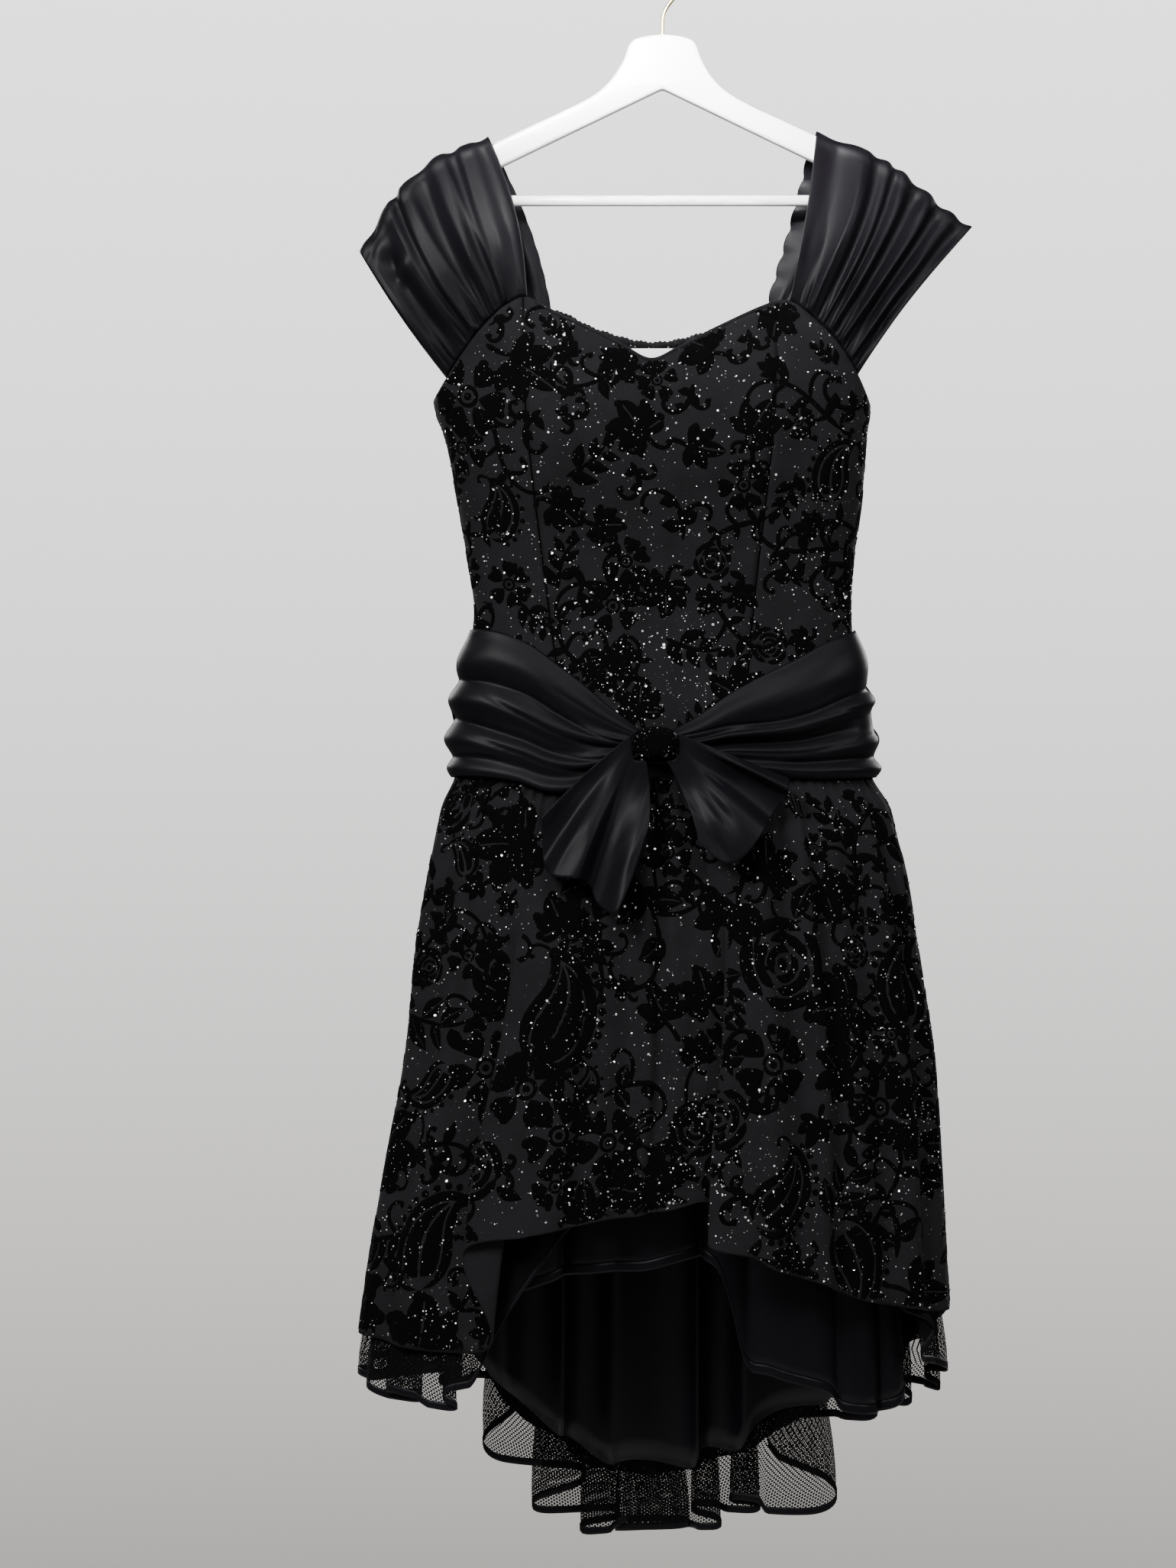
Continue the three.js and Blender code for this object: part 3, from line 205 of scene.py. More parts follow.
# The hook: brass-plated steel wire, 3.6 mm thick, screwed into the neck.
# It bends aside above the neck and turns over the rail in one round arc, with a rounded tip.
wire_radius = 1.8
hook_inside_radius = 20
hook_arc = (-50, 205)
hook_radius = hook_inside_radius + wire_radius
hook_shank = [(0, 0.3), (0, 8), (0, 16), (2.4, 23), (7.4, 30.5)]
hook_tip_share = 0.75
hook_route = [(x, hanger_neck_top + rise) for x, rise in hook_shank]
for angle in np.radians(np.linspace(*hook_arc, 40)):
    hook_route.append((hook_radius * math.cos(angle), -hook_inside_radius + hook_radius * math.sin(angle)))
wire_curve = bpy.data.curves.new("hook", "CURVE")
wire_curve.dimensions = "3D"
wire_curve.bevel_depth = wire_radius * MM
wire_curve.bevel_resolution = 6
wire_curve.use_fill_caps = True
spline = wire_curve.splines.new("NURBS")
spline.points.add(len(hook_route) - 1)
for i, (point, (x, z)) in enumerate(zip(spline.points, hook_route)):
    point.co = (x * MM, 0, z * MM, 1)
    point.radius = hook_tip_share if i == len(hook_route) - 1 else 1
spline.use_endpoint_u = True
spline.order_u = 4
spline.resolution_u = 6
hook = bpy.data.objects.new("hook_wire", wire_curve)
bpy.context.collection.objects.link(hook)
bpy.ops.object.select_all(action="DESELECT")
hook.select_set(True)
bpy.context.view_layer.objects.active = hook
bpy.ops.object.convert(target="MESH")
hook = bpy.context.object
bpy.ops.object.shade_smooth_by_angle(angle=math.radians(50))
brass = new_material("brass wire", Metallic=1.0, Roughness=0.3)
brass_cloud = texture(brass, "ShaderNodeTexNoise", "Object", 120, detail=3)
brass_lines = texture(brass, "ShaderNodeTexNoise", "Object", 900, detail=1, stretch=(1, 1, 0.1))
shaded(brass, "Base Color", brass_cloud, "Fac", (0.50, 0.40, 0.20), (0.66, 0.56, 0.33))
bumped(brass, [(brass_lines, "Fac", 0.00005, 0.4)])
dressed(hook, brass, "hanger_hook")

# The bodice: four panels of charcoal crepe, shaped by princess seams over the bust and sewn at the sides.
# Its upper edge dips to a V in front, and its lower edge is sewn to the skirt under the sash.
waist_seam_z = -744
body_roundness = 2.2
side_spread = 0.225
seam_turn = 0.0006
half_turns = {"front": (0, 0.5), "back": (0.5, 1)}
dress_levels = table(
    "z left right front back",
    (-300, 206, 190, 40, 27), (-411, 210, 191, 52, 32), (-448, 198.5, 187, 55, 32),
    (-501, 188.5, 183, 51, 31), (-553, 179.5, 176, 45, 30), (-606, 172.5, 173, 41, 30),
    (-658, 180, 178, 44, 32), (-700, 186, 184, 48, 35), (-744, 188, 190, 52, 38),
    (-757, 190, 192, 54, 40), (-781, 203, 209, 62, 45), (-816, 212, 220, 68, 49),
    (-851, 218, 228, 73, 52), (-903, 227, 236, 79, 56), (-1008, 238, 252, 88, 62),
    (-1113, 257, 259, 96, 68), (-1219, 275, 265, 102, 75), (-1330, 288, 273, 106, 82),
    (-1430, 296, 280, 108, 88),
)


def mix(a, b, t):
    """Goes evenly from a to b while t goes from 0 to 1."""
    return a + (b - a) * t


def ease(t):
    """Rises smoothly from 0 to 1."""
    t = np.clip(t, 0, 1)
    return t * t * (3 - 2 * t)


def hump(t):
    """A smooth rise and fall between -1 and 1."""
    return np.where(np.abs(t) < 1, np.cos(np.pi / 2 * np.clip(t, -1, 1)) ** 2, 0)


def level_sides(levels, z):
    """A level's reach to the left, to the right, to the front and to the back."""
    return [table_at(levels, side, z) for side in ("left", "right", "front", "back")]


def oval(levels, turn, z, inset=0):
    """A point on a level's rounded oval. turn is 0 and 1 at the left side seam in front view, 0.25 near
    the centre front, 0.5 at the right side seam and 0.75 near the centre back."""
    left, right, front, back = level_sides(levels, z)
    angle = 2 * np.pi * turn + side_spread * np.sin(4 * np.pi * turn)
    rounded = lambda value: np.sign(value) * np.abs(value) ** (2 / body_roundness)
    x = (right - left) / 2 - ((right + left) / 2 - inset) * rounded(np.cos(angle))
    y = -(np.where(np.sin(angle) > 0, front, back) - inset) * rounded(np.sin(angle))
    return np.stack([x, y, z + 0 * x], -1)


def round_and_out(levels, turn, z):
    """The way round a level at a turn, and the way out from it."""
    step = 1e-4
    way = oval(levels, turn + step, z) - oval(levels, turn - step, z)
    way = way / np.linalg.norm(way, axis=-1, keepdims=True)
    return way, np.stack([way[..., 1], -way[..., 0], 0 * way[..., 0]], -1)


def moved(levels, turn, z, out, along=0, inset=0):
    """A point of a level's oval, moved out from it and along it."""
    way, outwards = round_and_out(levels, turn, z)
    step = outwards * np.asarray(out)[..., None] + way * np.asarray(along)[..., None]
    return oval(levels, turn, z, inset) + step


def turn_at_x(levels, x, z, side="front"):
    """The turn at which a level's front or back crosses x."""
    left, right, front, back = level_sides(levels, z)
    ratio = np.clip(((right - left) / 2 - x) / ((right + left) / 2), -1, 1)
    angle = np.arccos(np.sign(ratio) * np.abs(ratio) ** (body_roundness / 2))
    turn = angle / (2 * np.pi)
    for _ in range(25):
        turn = (angle - side_spread * np.sin(4 * np.pi * turn)) / (2 * np.pi)
    return turn if side == "front" else 1 - turn


front_top_edge = table(
    "x z",
    (-210, -411), (-197, -391), (-184, -372), (-170, -353), (-157, -339), (-143, -327), (-124, -320),
    (-98, -333.5), (-65, -349.5), (-40, -362), (-12, -377), (12, -367), (47, -348.5), (98, -325),
    (115, -323.5), (131, -334), (147, -348), (160, -362), (178, -389), (191, -416),
)
back_top_edge = table(
    "x z",
    (-210, -411), (-197, -391), (-175, -364), (-150, -344), (-125, -332), (-102, -327), (-60, -346),
    (-8, -358), (45, -347), (98, -324), (118, -328), (140, -341), (160, -362), (178, -389), (191, -416),
)
princess_seams = table(
    "z left right", (-320, -127, 105), (-430, -124, 100), (-600, -104, 82), (-744, -84, 70),
)
bust = {"centre": -5, "apart": 82, "z": -452, "width": 78, "height": 80, "fullness": 9}
# Soft creases of the hanging bodice: the crest runs from (x, z) to (end_x, end_z).
bodice_creases = table(
    "x z end_x end_z width depth",
    (96, -395, 74, -640, 7, 1.6), (-112, -420, -95, -560, 8, 1.3), (150, -470, 120, -560, 12, 1.2),
    (-160, -480, -120, -570, 12, 1.1), (40, -600, 62, -705, 9, 1.0), (-60, -640, -48, -716, 8, 0.9),
    (-168, -560, -60, -606, 9, 0.8), (160, -575, 70, -610, 9, 0.8), (20, -380, -6, -455, 9, 0.9),
)
seam_dip = {"depth": 1.1, "width": 3.2}


def princess_turn(side, z):
    """The turn of the left or the right princess seam at a height."""
    return turn_at_x(dress_levels, table_at(princess_seams, side, z), z)


def crease_height(creases, x, z):
    """How far a set of straight soft creases raises the cloth at (x, z)."""
    height = 0 * x
    for i in range(len(creases["x"])):
        crease = {name: column[i] for name, column in creases.items()}
        run, drop = crease["end_x"] - crease["x"], crease["end_z"] - crease["z"]
        length = math.hypot(run, drop)
        ahead = ((x - crease["x"]) * run + (z - crease["z"]) * drop) / length ** 2
        aside = ((x - crease["x"]) * drop - (z - crease["z"]) * run) / length
        height = height + crease["depth"] * hump(aside / crease["width"]) * hump(2 * ahead - 1)
    return height


def bodice(turn, z):
    """A point on the bodice's outer face."""
    point = oval(dress_levels, turn, z)
    x = point[..., 0]
    front = (turn % 1) < 0.5
    wide = hump((x - bust["centre"] + bust["apart"]) / bust["width"])
    wide = wide + hump((x - bust["centre"] - bust["apart"]) / bust["width"])
    out = front * bust["fullness"] * hump((z - bust["z"]) / bust["height"]) * wide
    out = out + front * crease_height(bodice_creases, x, z)
    seams = (np.zeros_like(turn), np.full_like(turn, 0.5), np.ones_like(turn))
    for seam in (princess_turn("left", z), princess_turn("right", z), *seams):
        aside = np.abs(turn - seam) * 1000
        out = out - seam_dip["depth"] * np.exp(-(aside / seam_dip["width"]) ** 2)
    point[..., 1] -= out * np.where(front, 1, -1)
    return point


def cloth(name, across, down, point, thickness, material, node=None):
    """A sheet of cloth: a flat grid, shaped, with its wall added inwards. Its UV map is in metres."""
    bpy.ops.object.select_all(action="DESELECT")
    columns, rows = len(across) - 1, len(down) - 1
    bpy.ops.mesh.primitive_grid_add(x_subdivisions=columns, y_subdivisions=rows, size=1)
    sheet = bpy.context.object
    sheet.name = name
    flat = np.empty(len(sheet.data.vertices) * 3)
    sheet.data.vertices.foreach_get("co", flat)
    column = np.rint((flat[0::3] + 0.5) * columns).astype(int)
    row = np.rint((0.5 - flat[1::3]) * rows).astype(int)
    shaped = point(np.asarray(across, float)[column], np.asarray(down, float)[row]) * MM
    sheet.data.vertices.foreach_set("co", shaped.ravel())
    places = np.empty((rows + 1, columns + 1, 3))
    places[row, column] = shaped
    woven = np.zeros((rows + 1, columns + 1, 2))
    woven[:, 1:, 0] = np.cumsum(np.linalg.norm(np.diff(places, axis=1), axis=-1), axis=1)
    woven[:, :, 0] -= woven[:, columns // 2, 0][:, None]
    woven[1:, :, 1] = -np.cumsum(np.linalg.norm(np.diff(places, axis=0), axis=-1), axis=0)
    corners = np.empty(len(sheet.data.loops), int)
    sheet.data.loops.foreach_get("vertex_index", corners)
    sheet.data.uv_layers.active.data.foreach_set("uv", woven[row, column][corners].ravel())
    if thickness:
        wall = sheet.modifiers.new("wall", "SOLIDIFY")
        wall.thickness = thickness * MM
        wall.offset = -1
        wall.use_even_offset = False
        bpy.ops.object.modifier_apply(modifier=wall.name)
    bpy.ops.object.shade_smooth()
    dressed(sheet, material, node)
    return sheet


crepe_thickness = 1.2
crepe = new_material("charcoal crepe", Roughness=0.85, Specular_IOR_Level=0.1)
crepe_cloud = texture(crepe, "ShaderNodeTexNoise", "Object", 26, detail=3)
crepe_grain = texture(crepe, "ShaderNodeTexNoise", "UV", 1500, detail=2, stretch=(1, 0.55, 1))
crepe_warp = texture(crepe, "ShaderNodeTexWave", "UV", 420)
crepe_weft = texture(crepe, "ShaderNodeTexWave", "UV", 420, turn=(0, 0, math.pi / 2))
shaded(crepe, "Base Color", crepe_cloud, "Fac", (0.0074, 0.0069, 0.0079), (0.0108, 0.0101, 0.0115))
bumped(crepe, [
    (crepe_warp, "Fac", 0.0002, 0.35), (crepe_weft, "Fac", 0.0002, 0.35), (crepe_grain, "Fac", 0.0005, 0.6),
])

bodice_rows = 64


def bodice_panel(node, from_seam, to_seam, top_edge, columns):
    """A panel between two seams, each column from the upper edge down to the waist seam."""
    def point(u, v):
        top_z = np.full_like(u, -380.0)
        for _ in range(14):
            turn = mix(from_seam(top_z) + seam_turn, to_seam(top_z) - seam_turn, u)
            edge_z = table_at(top_edge, "z", oval(dress_levels, turn, top_z)[..., 0])
            top_z = mix(top_z, edge_z, 0.7)
        z = mix(top_z, waist_seam_z, v)
        return bodice(mix(from_seam(z) + seam_turn, to_seam(z) - seam_turn, u), z)

    panel = cloth(
        node + "_panel", np.linspace(0, 1, columns + 1), np.linspace(0, 1, bodice_rows + 1), point,
        crepe_thickness, crepe, node)


seam_at = {
    "side left": lambda z: np.zeros_like(z),
    "princess left": lambda z: princess_turn("left", z),
    "princess right": lambda z: princess_turn("right", z),
    "side right": lambda z: np.full_like(z, 0.5),
    "side left again": lambda z: np.ones_like(z),
}
bodice_panel(
    "bodice_side_left", seam_at["side left"], seam_at["princess left"], front_top_edge, 36)
bodice_panel(
    "bodice_front_centre", seam_at["princess left"], seam_at["princess right"], front_top_edge, 66)
bodice_panel(
    "bodice_side_right", seam_at["princess right"], seam_at["side right"], front_top_edge, 36)
bodice_panel(
    "bodice_back", seam_at["side right"], seam_at["side left again"], back_top_edge, 120)

# The neck's binding: a narrow strip of the bare crepe turned over the front's upper edge.
# It is sewn on through all layers, between the two sleeves.
neck_binding = {"from_x": -118, "to_x": 112, "height": 3.2, "proud": 0.7}


def neck_binding_point(x, share):
    """A point on the binding's outer face, at a place along the edge and a share of its height."""
    z = table_at(front_top_edge, "z", x) + 0.4 - share * neck_binding["height"]
    turn = turn_at_x(dress_levels, x, z)
    out = neck_binding["proud"] * np.sqrt(np.clip(1 - (2 * share - 1) ** 4, 0, 1))
    return bodice(turn, z) + round_and_out(dress_levels, turn, z)[1] * out[..., None]


cloth(
    "neck_binding", np.linspace(neck_binding["from_x"], neck_binding["to_x"], 121), np.linspace(0, 1, 7),
    neck_binding_point, 0, crepe)

# The elastic casing of the back neck: a narrow tube of the crepe, shirred by the elastic inside it.
# It is sewn along the back's upper edge.
casing = {
    "from_x": -100, "to_x": 96, "radius": 3.3, "flatness": 0.7, "rise": 2.7, "gathers": 12, "depth": 0.5,
}
puckers = {"count": 46, "depth": 0.55}


def casing_point(x, turned):
    share = (x - casing["from_x"]) / (casing["to_x"] - casing["from_x"])
    edge_z = table_at(back_top_edge, "z", x)
    middle = bodice(turn_at_x(dress_levels, x, edge_z, "back"), edge_z)
    ends = np.clip(1 - np.abs(2 * share - 1) ** 24, 0.0004, 1) ** 0.5
    angle = 2 * np.pi * turned
    uneven = 1.3 * np.sin(9 * share) + 0.5 * np.sin(31 * share)
    radius = casing["radius"] + casing["depth"] * np.cos(2 * np.pi * casing["gathers"] * share)
    phase = 2 * np.pi * puckers["count"] * share + uneven + 0.6 * np.sin(angle)
    radius = radius + puckers["depth"] * np.cos(phase)
    radius = radius * ends
    y = middle[..., 1] - crepe_thickness / 2 + radius * casing["flatness"] * np.cos(angle)
    return np.stack([x, y, edge_z + casing["rise"] + radius * np.sin(angle)], -1)


casing_tube = cloth(
    "neck_casing_tube", np.linspace(casing["from_x"], casing["to_x"], 361), np.linspace(0, 1, 17)[::-1],
    casing_point, 0, crepe, "back_neck_casing")
closing = casing_tube.modifiers.new("closed seam", "WELD")
closing.merge_threshold = 0.0001
bpy.ops.object.modifier_apply(modifier=closing.name)

# The label: a woven satin tab inside the back neck, left blank.
# It is sewn on by its short ends.
label = {"from_x": -29, "to_x": 15, "top_z": -358.5, "height": 20, "off_cloth": 1.2, "bow": 0.8, "wall": 0.5}


def label_point(x, share):
    z = label["top_z"] - share * label["height"]
    across = (x - label["from_x"]) / (label["to_x"] - label["from_x"])
    point = bodice(turn_at_x(dress_levels, x, z, "back"), z)
    off_cloth = label["off_cloth"] + label["wall"] + label["bow"] * np.sin(np.pi * across)
    point[..., 1] -= crepe_thickness + off_cloth
    return point


label_satin = new_material("label satin", Roughness=0.45, Specular_IOR_Level=0.5)
label_rib = texture(label_satin, "ShaderNodeTexWave", "UV", 700, turn=(0, 0, math.pi / 2))
label_cloud = texture(label_satin, "ShaderNodeTexNoise", "UV", 60, detail=2)
shaded(label_satin, "Base Color", label_cloud, "Fac", (0.78, 0.78, 0.82), (0.88, 0.88, 0.91))
bumped(label_satin, [(label_rib, "Fac", 0.0002, 0.4)])
tab = cloth(
    "neck_label_tab", np.linspace(label["from_x"], label["to_x"], 31), np.linspace(0, 1, 13), label_point,
    label["wall"], label_satin, "neck_label")

# The flock on the bodice: velvet half a millimetre high, stuck to the crepe in leaves, scrolls and flowers.
# Each motif is a few strokes with a width of their own, laid on the cloth and turned, scaled and mirrored.
flock_height = 0.55
stroke_step = 2.4
drawing = np.random.default_rng(11)


def towards(angle):
    """A step of one millimetre in the way of an angle."""
    return np.stack([np.cos(angle), np.sin(angle)], -1)


def aside_of(angle):
    """A step of one millimetre to the left of an angle."""
    return np.stack([-np.sin(angle), np.cos(angle)], -1)


def walked(angle, length, start):
    """A path of even steps from a start, one in the way of each angle."""
    return np.vstack([[0, 0], np.cumsum(towards(angle) * length / len(angle), axis=0)]) + start


def stroke(length, width, start=(0, 0), heading=90, bend=0, curl=0, drop=0):
    """A tapering line from a start: it turns by bend degrees evenly and by curl degrees towards its end.
    drop is how many times its width the round blob at its end is."""
    steps = max(int(length / stroke_step), 4)
    share = np.linspace(0, 1, steps + 1)
    angle = np.radians(heading + bend * share + curl * share ** 2.6)
    middle = np.radians(heading + bend * (share[1:] - 0.5 / steps) + curl * (share[1:] - 0.5 / steps) ** 2.6)
    half = width / 2 * np.clip(np.minimum(share, 1 - share) * 9 + 0.25, 0, 1) * (1.1 - 0.4 * share)
    half = half + width / 2 * drop * hump((share - 0.93) / 0.1 * length / 22)
    return walked(middle, length, start), half, angle


def blade(length, width, start=(0, 0), heading=90, bend=20, vein=1.0, roundness=1.0):
    """A leaf or a petal. Where it is wide enough, its two halves lie on both sides of a bare vein."""
    steps = max(int(length / stroke_step), 5)
    share = np.linspace(0, 1, steps + 1)
    angle = np.radians(heading + bend * (share - 0.3))
    path = walked(angle[1:], length, start)
    reach = width / 2 * np.sin(np.pi * share ** (0.8 * roundness)) ** (1 / roundness) + 0.15
    if width < 13 or vein == 0:
        return [(path, reach, angle)]
    halves = []
    for side in (-1, 1):
        gap = vein / 2 * np.minimum(1, reach / 3)
        aside = aside_of(angle) * (side * (reach + gap) / 2)[:, None]
        halves.append((path + aside, np.maximum((reach - gap) / 2, 0.1), angle))
    return halves


def ring(radius, width, first=0, last=360):
    """A round line, or a part of one that tapers at its ends."""
    steps = max(int(abs(last - first) / 360 * 2 * np.pi * radius / stroke_step), 8)
    share = np.linspace(0, 1, steps + 1)
    around = np.radians(first + (last - first) * share)
    taper = 1 if abs(last - first) >= 360 else np.clip(np.minimum(share, 1 - share) * 5 + 0.15, 0, 1)
    return towards(around) * radius, width / 2 * taper * np.ones(steps + 1), around + np.pi / 2


def dot(radius, centre):
    """A round spot: a short wide stroke with round ends."""
    share = np.linspace(-1, 1, 7)
    path = np.stack([share * radius, 0 * share], -1) + centre
    return path, radius * np.sqrt(np.maximum(1 - share ** 2, 0.02)), 0 * share


def scroll(size):
    """A stem that curls up in a blob, with a side curl and two or three small leaves."""
    strokes = [stroke(size * 1.7, 5.2, (0, -size * 0.6), 80, 30, 240, drop=1.1)]
    strokes.append(stroke(size * 0.85, 4.6, (size * 0.03, -size * 0.2), 40, -40, -190, drop=1.0))
    for place, heading, long in ((-0.42, 150, 0.38), (-0.3, 20, 0.36), (0.06, 165, 0.32)):
        strokes += blade(size * long, size * 0.24, (size * 0.02, size * place), heading, 35)
    return strokes


def vine(size):
    """A long bent stem that ends in a curl. Curls with blobs and small leaves leave it on both sides."""
    stem = stroke(size * 1.25, 4.8, (-size * 0.1, -size * 0.6), 104, -50, 200, drop=1.2)
    strokes = [stem]
    path, _, angle = stem
    for share, side, long in ((0.14, 1, 0.4), (0.34, -1, 0.48), (0.55, 1, 0.36)):
        i = int(share * (len(path) - 1))
        heading = math.degrees(angle[i])
        curl = stroke(size * long, 4.2, path[i], heading + side * 50, side * 20, side * 210, drop=1.3)
        strokes.append(curl)
        strokes += blade(size * 0.2, size * 0.09, path[i], heading - side * 60, -side * 30, 0)
    return strokes


def spray(size):
    """A bent stem with leaves in turn on each side, larger at the foot, and berries at the tip."""
    strokes = [stroke(size, 4.0, (0, -size / 2), 96, -18, -40)]
    for i in range(6):
        share = 0.08 + 0.15 * i
        place = (size * 0.02 * math.sin(3 * share), size * (share - 0.5))
        side = 1 if i % 2 else -1
        long, wide = size * (0.44 - 0.035 * i), size * (0.21 - 0.014 * i)
        strokes += blade(long, wide, place, 90 - side * 52, side * 28)
    strokes += [dot(size * 0.05, (size * 0.12, size * 0.52)), dot(size * 0.04, (size * 0.2, size * 0.44))]
    return strokes


def flower(size):
    """A ring with a spot in it, in six broad petals whose rims are scalloped."""
    strokes = [ring(size * 0.13, size * 0.06), dot(size * 0.055, (0, 0))]
    for i in range(6):
        heading = 60 * i + 12 * math.sin(5 * i)
        foot = towards(math.radians(heading)) * size * 0.17
        strokes += blade(size * (0.34 + 0.04 * (i % 2)), size * 0.37, foot, heading, 8, 0, 2.2)
        for turned in (-14, 14):
            strokes.append(dot(size * 0.075, towards(math.radians(heading + turned)) * size * 0.49))
    return strokes


def bunch(size):
    """A dense bunch of round-ended leaves, with a bare line between some, and two curls below."""
    strokes = [dot(size * 0.16, (0, -size * 0.05))]
    for heading, long, wide, vein in (
        (95, 0.56, 0.34, 1.6), (48, 0.5, 0.3, 0), (146, 0.52, 0.3, 0), (8, 0.44, 0.27, 1.4),
        (190, 0.42, 0.26, 0), (238, 0.34, 0.22, 0),
    ):
        strokes += blade(size * long, size * wide, (0, -size * 0.05), heading, 16, vein, 1.7)
        tip = towards(math.radians(heading + 8)) * size * long
        strokes.append(dot(size * 0.07, tip * 0.94 + (0, -size * 0.05)))
    strokes.append(stroke(size * 0.5, 4.6, (size * 0.06, -size * 0.15), -70, 10, 170, drop=1.2))
    strokes.append(stroke(size * 0.4, 4.2, (-size * 0.04, -size * 0.15), -120, -10, -190, drop=1.2))
    return strokes


def rose(size):
    """Arcs of petals packed round a heart, with two leaves behind them."""
    strokes = [dot(size * 0.06, (0, 0))]
    for row, (radius, wide, count) in enumerate(((0.14, 0.08, 2), (0.25, 0.1, 3), (0.38, 0.12, 4))):
        for i in range(count):
            first = 360 / count * i + 40 * row
            strokes.append(ring(size * radius, size * wide, first, first + 360 / count * 0.93))
    strokes += blade(size * 0.4, size * 0.18, (size * 0.4, -size * 0.22), -30, 30)
    strokes += blade(size * 0.36, size * 0.16, (-size * 0.4, -size * 0.2), 205, -30)
    return strokes


def big_leaf(size):
    """A large leaf of five lobes that spread from a short stem."""
    strokes = [stroke(size * 0.5, 4.8, (0, -size * 0.65), 88, 5, 60)]
    for heading, long, wide, vein in (
        (90, 0.78, 0.34, 1.6), (52, 0.64, 0.3, 0), (128, 0.62, 0.3, 0), (12, 0.48, 0.25, 0),
        (168, 0.48, 0.25, 0),
    ):
        bend = 14 if heading > 90 else -14
        strokes += blade(size * long, size * wide, (0, -size * 0.25), heading, bend, vein, 1.45)
    return strokes


def paisley(size):
    """A bent drop: an outline, a bare line, a split heart and a curl in it, and spots along its back."""
    steps = int(size * 1.1 / stroke_step)
    share = np.linspace(0.02, 1, steps + 1)
    angle = np.radians(60 + 95 * share ** 2)
    spine = walked(angle[1:], size * 1.05, (-size * 0.15, -size * 0.5))
    reach = size * 0.31 * np.sin(np.pi * share ** 0.62) ** 0.75 + 0.2
    aside = aside_of(angle)
    line = np.maximum(size * 0.05, 1.6) * np.clip(reach / 4, 0.3, 1)
    strokes = []
    for side in (-1, 1):
        strokes.append((spine + aside * (side * (reach - line))[:, None], line, angle))
        inner = np.maximum(reach - 2 * line - 2.2, 0.2)
        wide = np.maximum((inner - 1.2) / 2, 0.1)
        kept = slice(int(steps * 0.12), int(steps * 0.86))
        middle = spine + aside * (side * (inner + 1.2) / 2)[:, None]
        strokes.append((middle[kept], wide[kept], angle[kept]))
    strokes.append(stroke(size * 0.3, 3, spine[-1], math.degrees(angle[-1]), 40, 200, drop=1.0))
    for i in range(2, steps - 1, 3):
        strokes.append(dot(size * 0.03 + 0.6, spine[i] - aside[i] * (reach[i] + size * 0.04 + 0.6)))
    return strokes


class Surface:
    """A face of the cloth by turn and height, with a table of the way round it in millimetres."""
    rows, columns = 48, 1600

    def __init__(self, point, first, last, top, low, hidden):
        self.point, self.top, self.low, self.hidden = point, top, low, hidden
        self.turns = np.linspace(first, last, self.columns)
        highest = float(np.max(top(self.turns)))
        lowest = float(np.min(low(self.turns)))
        self.levels = np.linspace(highest, lowest, self.rows)
        shaped = point(np.tile(self.turns, (self.rows, 1)), np.tile(self.levels[:, None], (1, self.columns)))
        self.round = np.zeros((self.rows, self.columns))
        self.round[:, 1:] = np.cumsum(np.linalg.norm(np.diff(shaped, axis=1), axis=-1), axis=1)

    def rows_down(self, z):
        """How many rows of the table down a height is."""
        return (self.levels[0] - z) / (self.levels[0] - self.levels[-1]) * (self.rows - 1)

    def turn(self, turn, across, z):
        """The turn that lies across millimetres to the right of another, at a height."""
        place = np.clip(self.rows_down(z), 0, self.rows - 1.001)
        found = np.zeros_like(z)
        for row in range(self.rows - 1):
            here = (place >= row) & (place < row + 1)
            if here.any():
                both = [
                    np.interp(np.interp(turn[here], self.turns, way) + across[here], way, self.turns)
                    for way in (self.round[row], self.round[row + 1])
                ]
                found[here] = mix(both[0], both[1], place[here] - row)
        return found

    def inside(self, turn, z, margin=1.5):
        """Whether a place is on the cloth, clear of its edges, and not hidden in a pleat."""
        first, last = self.turns[0], self.turns[-1]
        within = (turn > first + 0.0015) & (turn < last - 0.0015)
        return within & (z < self.top(turn) - margin) & (z > self.low(turn) + margin) & ~self.hidden(turn, z)

    def frame(self, turn, z):
        """Points of the face, the way out from it and the way round it."""
        at = self.point(turn, z)
        round_way = self.point(turn + 1e-4, z) - at
        down_way = self.point(turn, z - 0.2) - at
        out = np.cross(down_way, round_way)
        unit = lambda way: way / np.maximum(np.linalg.norm(way, axis=-1, keepdims=True), 1e-12)
        return at, unit(out), unit(round_way)


def joined_mesh(name, points, faces, material, smooth_faces=True):
    """One mesh from arrays of points in millimetres and of faces."""
    mesh = bpy.data.meshes.new(name)
    mesh.from_pydata((points * MM).tolist(), [], faces)
    mesh.update()
    mesh.polygons.foreach_set("use_smooth", [smooth_faces] * len(mesh.polygons))
    piece = bpy.data.objects.new(name, mesh)
    bpy.context.collection.objects.link(piece)
    dressed(piece, material)
    return piece


ribbon_section = ((-1, 0.05), (-0.78, 0.93), (0, 1), (0.78, 0.93), (1, 0.05))
narrow_section, narrow_half = ((-1, 0.05), (0, 1), (1, 0.05)), 4.2


